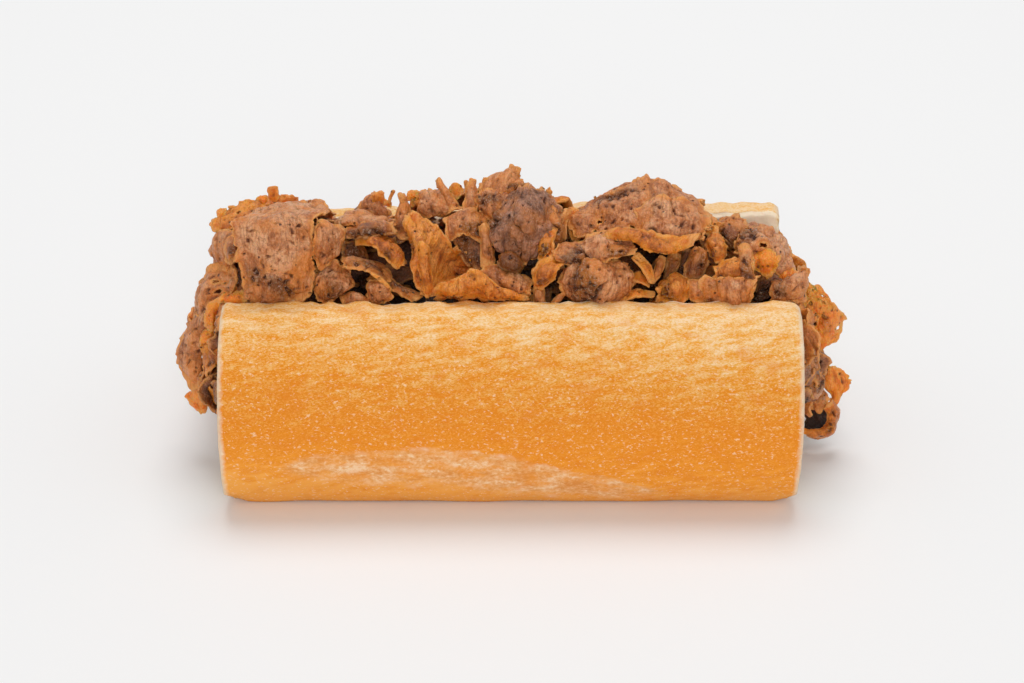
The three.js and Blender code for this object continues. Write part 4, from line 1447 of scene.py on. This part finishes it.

# %% [markdown]
# ## How each slice differs
# Slices that lie deep are painted darker, as painted shade, and a few in the light are
# painted lighter, as painted light. A few have holes, and some have one wet patch that
# shines. The rest get a tone of their own, which their name picks.

# %% Tones, holes and wet patches
# painted shade on slices that lie deep (negative) and painted light on a few lit ones (positive)
PAINTED_SHADE_AND_LIGHT = {
    "slant_1": -1.5, "slant_2": -1.9, "slant_3": -1.1, "cup_side": -1.5, "ridge_under": -1.0,
    "right_shade": -2.0, "under_disc": -1.6, "hook_back": -2.2, "right_pink": -0.9, "pitted": -0.9,
    "inside_left": -1.2, "inside_middle": -1.2, "inside_disc": -1.2, "inside_right": -1.2,
    "lacy": 1.1, "fold": 0.9, "right_crisp": 0.6, "fold_trough": 0.6, "left_block": 0.8,
    "forked_leg": -0.2, "v_ribbon": -0.5, "post_left": -1.0, "disc_side": -0.6,
}
HOLES = {"lacy": 9, "left_hanging": 4, "left_back": 3, "big_disc": 3, "right_upper": 2}
THICK = {"brown": 1.4, "dark": 1.9, "crisp": 1.0, "amber": 0.9}
WET_SHARE = {"brown": -0.15, "dark": 0.12, "crisp": -0.3, "amber": -0.4}
# name: middle in mm, radius
WET_SPOTS = {
    "left_block": ((-62, -20, 55.5), 6.5),
    "round_brown": ((-19, 2, 68), 4.5),
    "dark_disc": ((-3.5, -8, 64), 6),
    "middle_disc": ((20, -24, 56), 5),
    "pitted": ((-12, -16, 63), 6),
    "left_hanging": ((-74, -18, 56.5), 5),
    "big_disc": ((29, 0, 67), 5),
    "right_upper": ((63, -8, 61), 5),
}


def tone_of(name):
    """How light a slice is: its painted shade or light, if it has one, or a tone that its name picks."""
    return PAINTED_SHADE_AND_LIGHT.get(name, random.Random(name).uniform(-0.4, 0.7))


print("tones", [(name, round(tone_of(name), 2)) for name in ("lacy", "ridge", "slant_2")])

# %% [markdown]
# ## From rows of points to meat
# Each draped slice is made on a fine grid. One that stands for a node is a piece of its
# own, and the small ones between them are kept by kind, to be joined with the tabs.

# %% Make the draped slices
DRAPED_CELL = 0.36
between = {kind: [] for kind in MEAT}
for number, (name, stands_for, kind, round_share, rows) in enumerate(DRAPED):
    sheet = draped_sheet(rows)
    half_narrow = min(sheet[1:])
    cut = shaved_slice(
        number, sheet, round_share, cell=DRAPED_CELL, ruffle=0.6 * min(1, half_narrow / 5),
        lobed=0.45, holes=HOLES.get(name, 0), tone=tone_of(name), thickness=THICK[kind],
        wet_share=WET_SHARE[kind], wet_spot=WET_SPOTS.get(name))
    made = mesh_at(name, cut)
    if stands_for:
        piece_from(name, made, MEAT[kind], [stands_for])
    else:
        between[kind].append(made)
print("small slices between", {kind: len(meshes) for kind, meshes in between.items()})

# %% [markdown]
# ## Small tabs between the slices
# Along the heap's top and at its ends small tabs and crumbs of meat stand up between
# the slices. Each is a small cupped sheet that faces the front.

# %% The tabs
# kind, middle in mm, wide, tall, tilt in degrees
TABS = [
    ("amber", (-78.5, 4, 64), 2.5, 2.5, 0),
    ("amber", (-75.5, 4, 64.5), 2.5, 2.5, 0),
    ("amber", (-80.5, 2, 61.5), 2.5, 3.5, 20),
    ("crisp", (-72, 5, 66), 5, 2.5, 10),
    ("amber", (-67.5, 5, 67.5), 2.5, 2.5, 0),
    ("crisp", (-64.5, 5, 69.5), 3, 3.5, 0),
    ("crisp", (-60.5, 5, 67.5), 5, 2.5, -5),
    ("crisp", (-32, 4, 68.5), 1, 3.5, -25),
    ("amber", (-33.5, 4, 67), 2.5, 2, -20),
    ("crisp", (-36.5, 5, 68), 4.5, 3, 0),
    ("brown", (-29, -2, 71), 1.5, 3, 20),
    ("amber", (-26.5, 0, 71), 2.5, 2.5, 0),
    ("amber", (-26.5, 0, 69), 1.5, 2.5, 10),
    ("brown", (-19.5, 2, 73.5), 1.5, 3.5, 20),
    ("amber", (-15.5, 3, 71), 2.5, 2.5, 0),
    ("crisp", (-10.5, 3, 73), 2, 3, -15),
    ("crisp", (-12, 3, 72.5), 1, 2.5, 10),
    ("crisp", (-5.5, 4, 73.5), 4.5, 2.5, 5),
    ("brown", (0.5, 5, 76), 4, 3.5, -25),
    ("crisp", (10.5, 3, 70.5), 1.5, 1.5, -60),
    ("brown", (51.5, 3, 67.5), 1.5, 1.5, 0),
    ("crisp", (55.5, -4, 63.5), 2.5, 3.5, -30),
    ("brown", (78.5, -14, 54.5), 2.5, 2.5, -10),
    ("amber", (79.5, -13, 48.5), 3, 3.5, 0),
    ("amber", (82, -13, 46.5), 3, 3, 0),
    ("amber", (77.5, -14, 51.5), 2.5, 2.5, 0),
    ("crisp", (-3.5, -17, 57.5), 3.5, 2, 0),
    ("crisp", (-1.5, -16, 59.5), 2.5, 1.5, 0),
    ("brown", (62, -15, 60.5), 2.5, 3.5, 0),
    ("amber", (85.5, -13, 44.5), 4.5, 2.5, -35),
]


def tab_rows(middle, wide, tall, tilt):
    """Rows of points for a small cupped sheet that faces the front."""
    turned = math.radians(tilt)
    side = Vector((math.cos(turned), 0, math.sin(turned))) * wide / 2
    rise = Vector((-math.sin(turned), 0.3, math.cos(turned))) * tall / 2
    bulge = Vector((0, -min(wide, tall) / 6, 0))
    return [[Vector(middle) + side * s + rise * t + bulge * (1 - s * s) * (1 - t * t)
             for s in (-1, 0, 1)] for t in (-1, 0, 1)]


TAB_SEED = 400
for number, (kind, *shape) in enumerate(TABS):
    cut = shaved_slice(TAB_SEED + number, draped_sheet(tab_rows(*shape)), 0.4, cell=0.3, ruffle=0.5,
                       holes=0, thickness=0.8, lobed=1.3, wet_share=-0.3)
    between[kind].append(mesh_at("tab", cut))
for kind, meshes in between.items():
    piece_from("small_" + kind + "_slices", joined("small_" + kind, meshes), MEAT[kind])

# %% [markdown]
# ## Slices at the back and at the cut ends
# These are evenly bent sheets, each put at the middle of its own solid in the frame.

# %% The bent slices
# name: kind, (turn, lean, spin), (length across, bend), (length up, bend), roundness
BENT = {
    "rear_left": ("brown", (175, 58, 0), (28, -60), (19, -50), 0.8),
    "rear_middle": ("brown", (182, 45, -8), (26, -50), (20, -50), 0.6),
    "rear_right": ("dark", (176, 50, 8), (23, -60), (17, -50), 0.7),
    "rear_low": ("brown", (170, 60, -5), (24, -60), (16, -50), 0.6),
    "end_left": ("brown", (-85, 5, 6), (22, -50), (28, -40), 0.7),
    "end_right": ("brown", (88, 8, -8), (22, -50), (24, -40), 0.7),
}
BENT_SEED = 200
for number, (name, (kind, faces, across, up, round_share)) in enumerate(BENT.items()):
    low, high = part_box("slice_" + name)
    cut = shaved_slice(BENT_SEED + number, bent_sheet(faces, across, up), round_share, ruffle=1.0)
    made = mesh_at(name, cut, (low + high) / 2 / MM)
    piece_from(name, made, MEAT[kind], ["slice_" + name])

# %% [markdown]
# ## The imported heap under the slices
# Inside the roll the meat is packed, and only its creased surface shows between the
# slices on top, painted dark as shade. The core starts as the frame's own outline, made
# into an even skin.

# %% An even skin over the imported outline
CORE_CELL = 1.5
outline_bm = bmesh.new()
outline_bm.from_mesh(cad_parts["meat_heap"].data)
bmesh.ops.remove_doubles(outline_bm, verts=outline_bm.verts, dist=1e-6)
packed = BVHTree.FromBMesh(outline_bm)
outline = bpy.data.meshes.new("core")
outline_bm.to_mesh(outline)
outline_bm.free()
core = put_in_scene("core", outline)
remesh = core.modifiers.new("even skin", "REMESH")
remesh.mode = "VOXEL"
remesh.voxel_size = CORE_CELL * MM
graph = bpy.context.evaluated_depsgraph_get()
core_skin = bpy.data.meshes.new_from_object(core.evaluated_get(graph))
bpy.data.objects.remove(core)
print("core", len(core_skin.polygons), "faces")

# %% [markdown]
# ## Creases in the core
# The skin is drawn in by a few millimetres where slices cover it, most of all at the
# front, and given deep creases, so that the gaps read as shadow and not as holes. Its
# tone paints shade on it, darkest at the front.

# %% The creased core
CORE_SHRINK = 3.0
FRONT_SHRINK = 6.0
CREASE_MIDDLE = 1.4
FRONT_PAINTED_SHADE = -2.3
BACK_PAINTED_SHADE = -1.1
core_bm = bmesh.new()
core_bm.from_mesh(core_skin)
core_bm.verts.layers.float.new("rim")
core_painted_shade = core_bm.verts.layers.float.new("tone")
for _ in range(2):
    bmesh.ops.smooth_vert(core_bm, verts=core_bm.verts, factor=0.5,
                          use_axis_x=True, use_axis_y=True, use_axis_z=True)
core_bm.normal_update()
for vert in core_bm.verts:
    place = vert.co / MM
    crease = abs(bumps(place, 9, 2)) * 2.2 + 1.1 * bumps(place, 4, 3) + 0.7 * bumps(place, 2.2, 4)
    in_front = smooth(2, -10, place.y)
    at_cut = smooth(70, 80, abs(place.x))
    deeper = CORE_SHRINK * max(smooth(38, 50, place.z), at_cut)
    deeper += FRONT_SHRINK * smooth(44, 50, place.z) * in_front
    vert.co += vert.normal * (crease - deeper - CREASE_MIDDLE) * MM
    # painted shade: the core is darkened, most of all at the front under the slices
    vert[core_painted_shade] = BACK_PAINTED_SHADE + (FRONT_PAINTED_SHADE - BACK_PAINTED_SHADE) * in_front * (1 - at_cut)
core_bm.to_mesh(core_skin)
core_bm.free()
core_skin.materials.clear()
piece_from("packed_meat", core_skin, MEAT["dark"], ["meat_heap"])

# %% [markdown]
# ## Loose slices over the back, the top and both ends
# The sides that the front view hides are heaped in the same way. Slices are strewn over
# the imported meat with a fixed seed: each is set on its surface and turned to face out.

# %% How slices are strewn
HEAP_AXIS_HEIGHT = 34
FROM_AXIS = 70
FROM_MIDDLE = 110
loose = {kind: [] for kind in MEAT}
rng = random.Random(41)


def ray_around(low, high, reach):
    """A ray towards the heap's axis, from an angle between low and high, 0 being the viewer."""
    angle = math.radians(rng.uniform(low, high))
    way = Vector((0, -math.cos(angle), math.sin(angle)))
    start = Vector((rng.uniform(-reach, reach), 0, HEAP_AXIS_HEIGHT)) + way * FROM_AXIS
    return start, -way.normalized()


def ray_at_end(side):
    """A ray along the roll, towards the meat in one cut end."""
    return Vector((side * FROM_MIDDLE, rng.uniform(-30, 30), rng.uniform(13, 52))), Vector((-side, 0, 0))


def strew(count, ray, sunk, sizes, weights, tones, cell=0.75, spread=30):
    """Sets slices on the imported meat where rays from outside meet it, facing out."""
    for _ in range(count):
        start, aim = ray()
        place, facing = packed.ray_cast(start * MM, aim)[:2]
        if place is None:
            continue
        outward = (facing - aim).normalized()
        turn = math.degrees(math.atan2(outward.x, -outward.y)) + rng.uniform(-spread, spread)
        lean = math.degrees(math.asin(max(-1, min(1, outward.z)))) + rng.uniform(-25, 25)
        size = rng.uniform(*sizes)
        kind = rng.choices(["brown", "dark", "crisp"], weights)[0]
        across = (size, rng.uniform(-110, -20))
        up = (size * rng.uniform(0.5, 0.9), rng.uniform(-110, 50))
        sheet = bent_sheet((turn, lean, rng.uniform(-80, 80)), across, up)
        cut = shaved_slice(rng.random(), sheet, rng.uniform(0.5, 1.0), cell=cell,
                           holes=rng.choice([0, 0, 1]), ruffle=1.1, tone=rng.uniform(*tones))
        loose[kind].append(mesh_at("loose", cut, place / MM - outward * sunk))
    print(sum(len(meshes) for meshes in loose.values()), "loose slices so far")


print("heap's axis at", HEAP_AXIS_HEIGHT, "mm")

# %% [markdown]
# ## Strewing them
# Deep slices, painted dark as shade, fill the front's gaps first and small crisp ones lie
# over those. Broad slices cover the back in two layers, and then both cut ends; the
# lower layer of each is painted darker, as shade.

# %% The loose slices
# how many, from where, how far sunk in mm, sizes in mm, shares of brown, dark and crisp, tones
# the low tones of the first strewing and of the lower layers at the back and ends paint shade
strew(46, partial(ray_around, 20, 80, 76), 6.5, (7, 13), (0.3, 0.7, 0), (-2.1, -1.0))
strew(26, partial(ray_around, 25, 75, 74), 1.5, (4, 7), (0.5, 0, 0.5), (-0.4, 0.6), cell=0.4)
strew(26, partial(ray_around, 95, 160, 76), 1.6, (12, 20), (0.5, 0.5, 0), (-1.2, -0.2))
strew(58, partial(ray_around, 88, 158, 74), 0.0, (9, 19), (0.6, 0.15, 0.25), (-0.5, 0.7))
for side in (-1, 1):
    at_end = partial(ray_at_end, side)
    strew(26, at_end, 1.8, (10, 18), (0.4, 0.6, 0), (-1.2, -0.3), spread=40)
    strew(44, at_end, 0.2, (8, 16), (0.6, 0.15, 0.25), (-0.5, 0.7), spread=45)
for kind, meshes in loose.items():
    if meshes:
        piece_from("loose_" + kind + "_slices", joined("loose_" + kind, meshes), MEAT[kind])
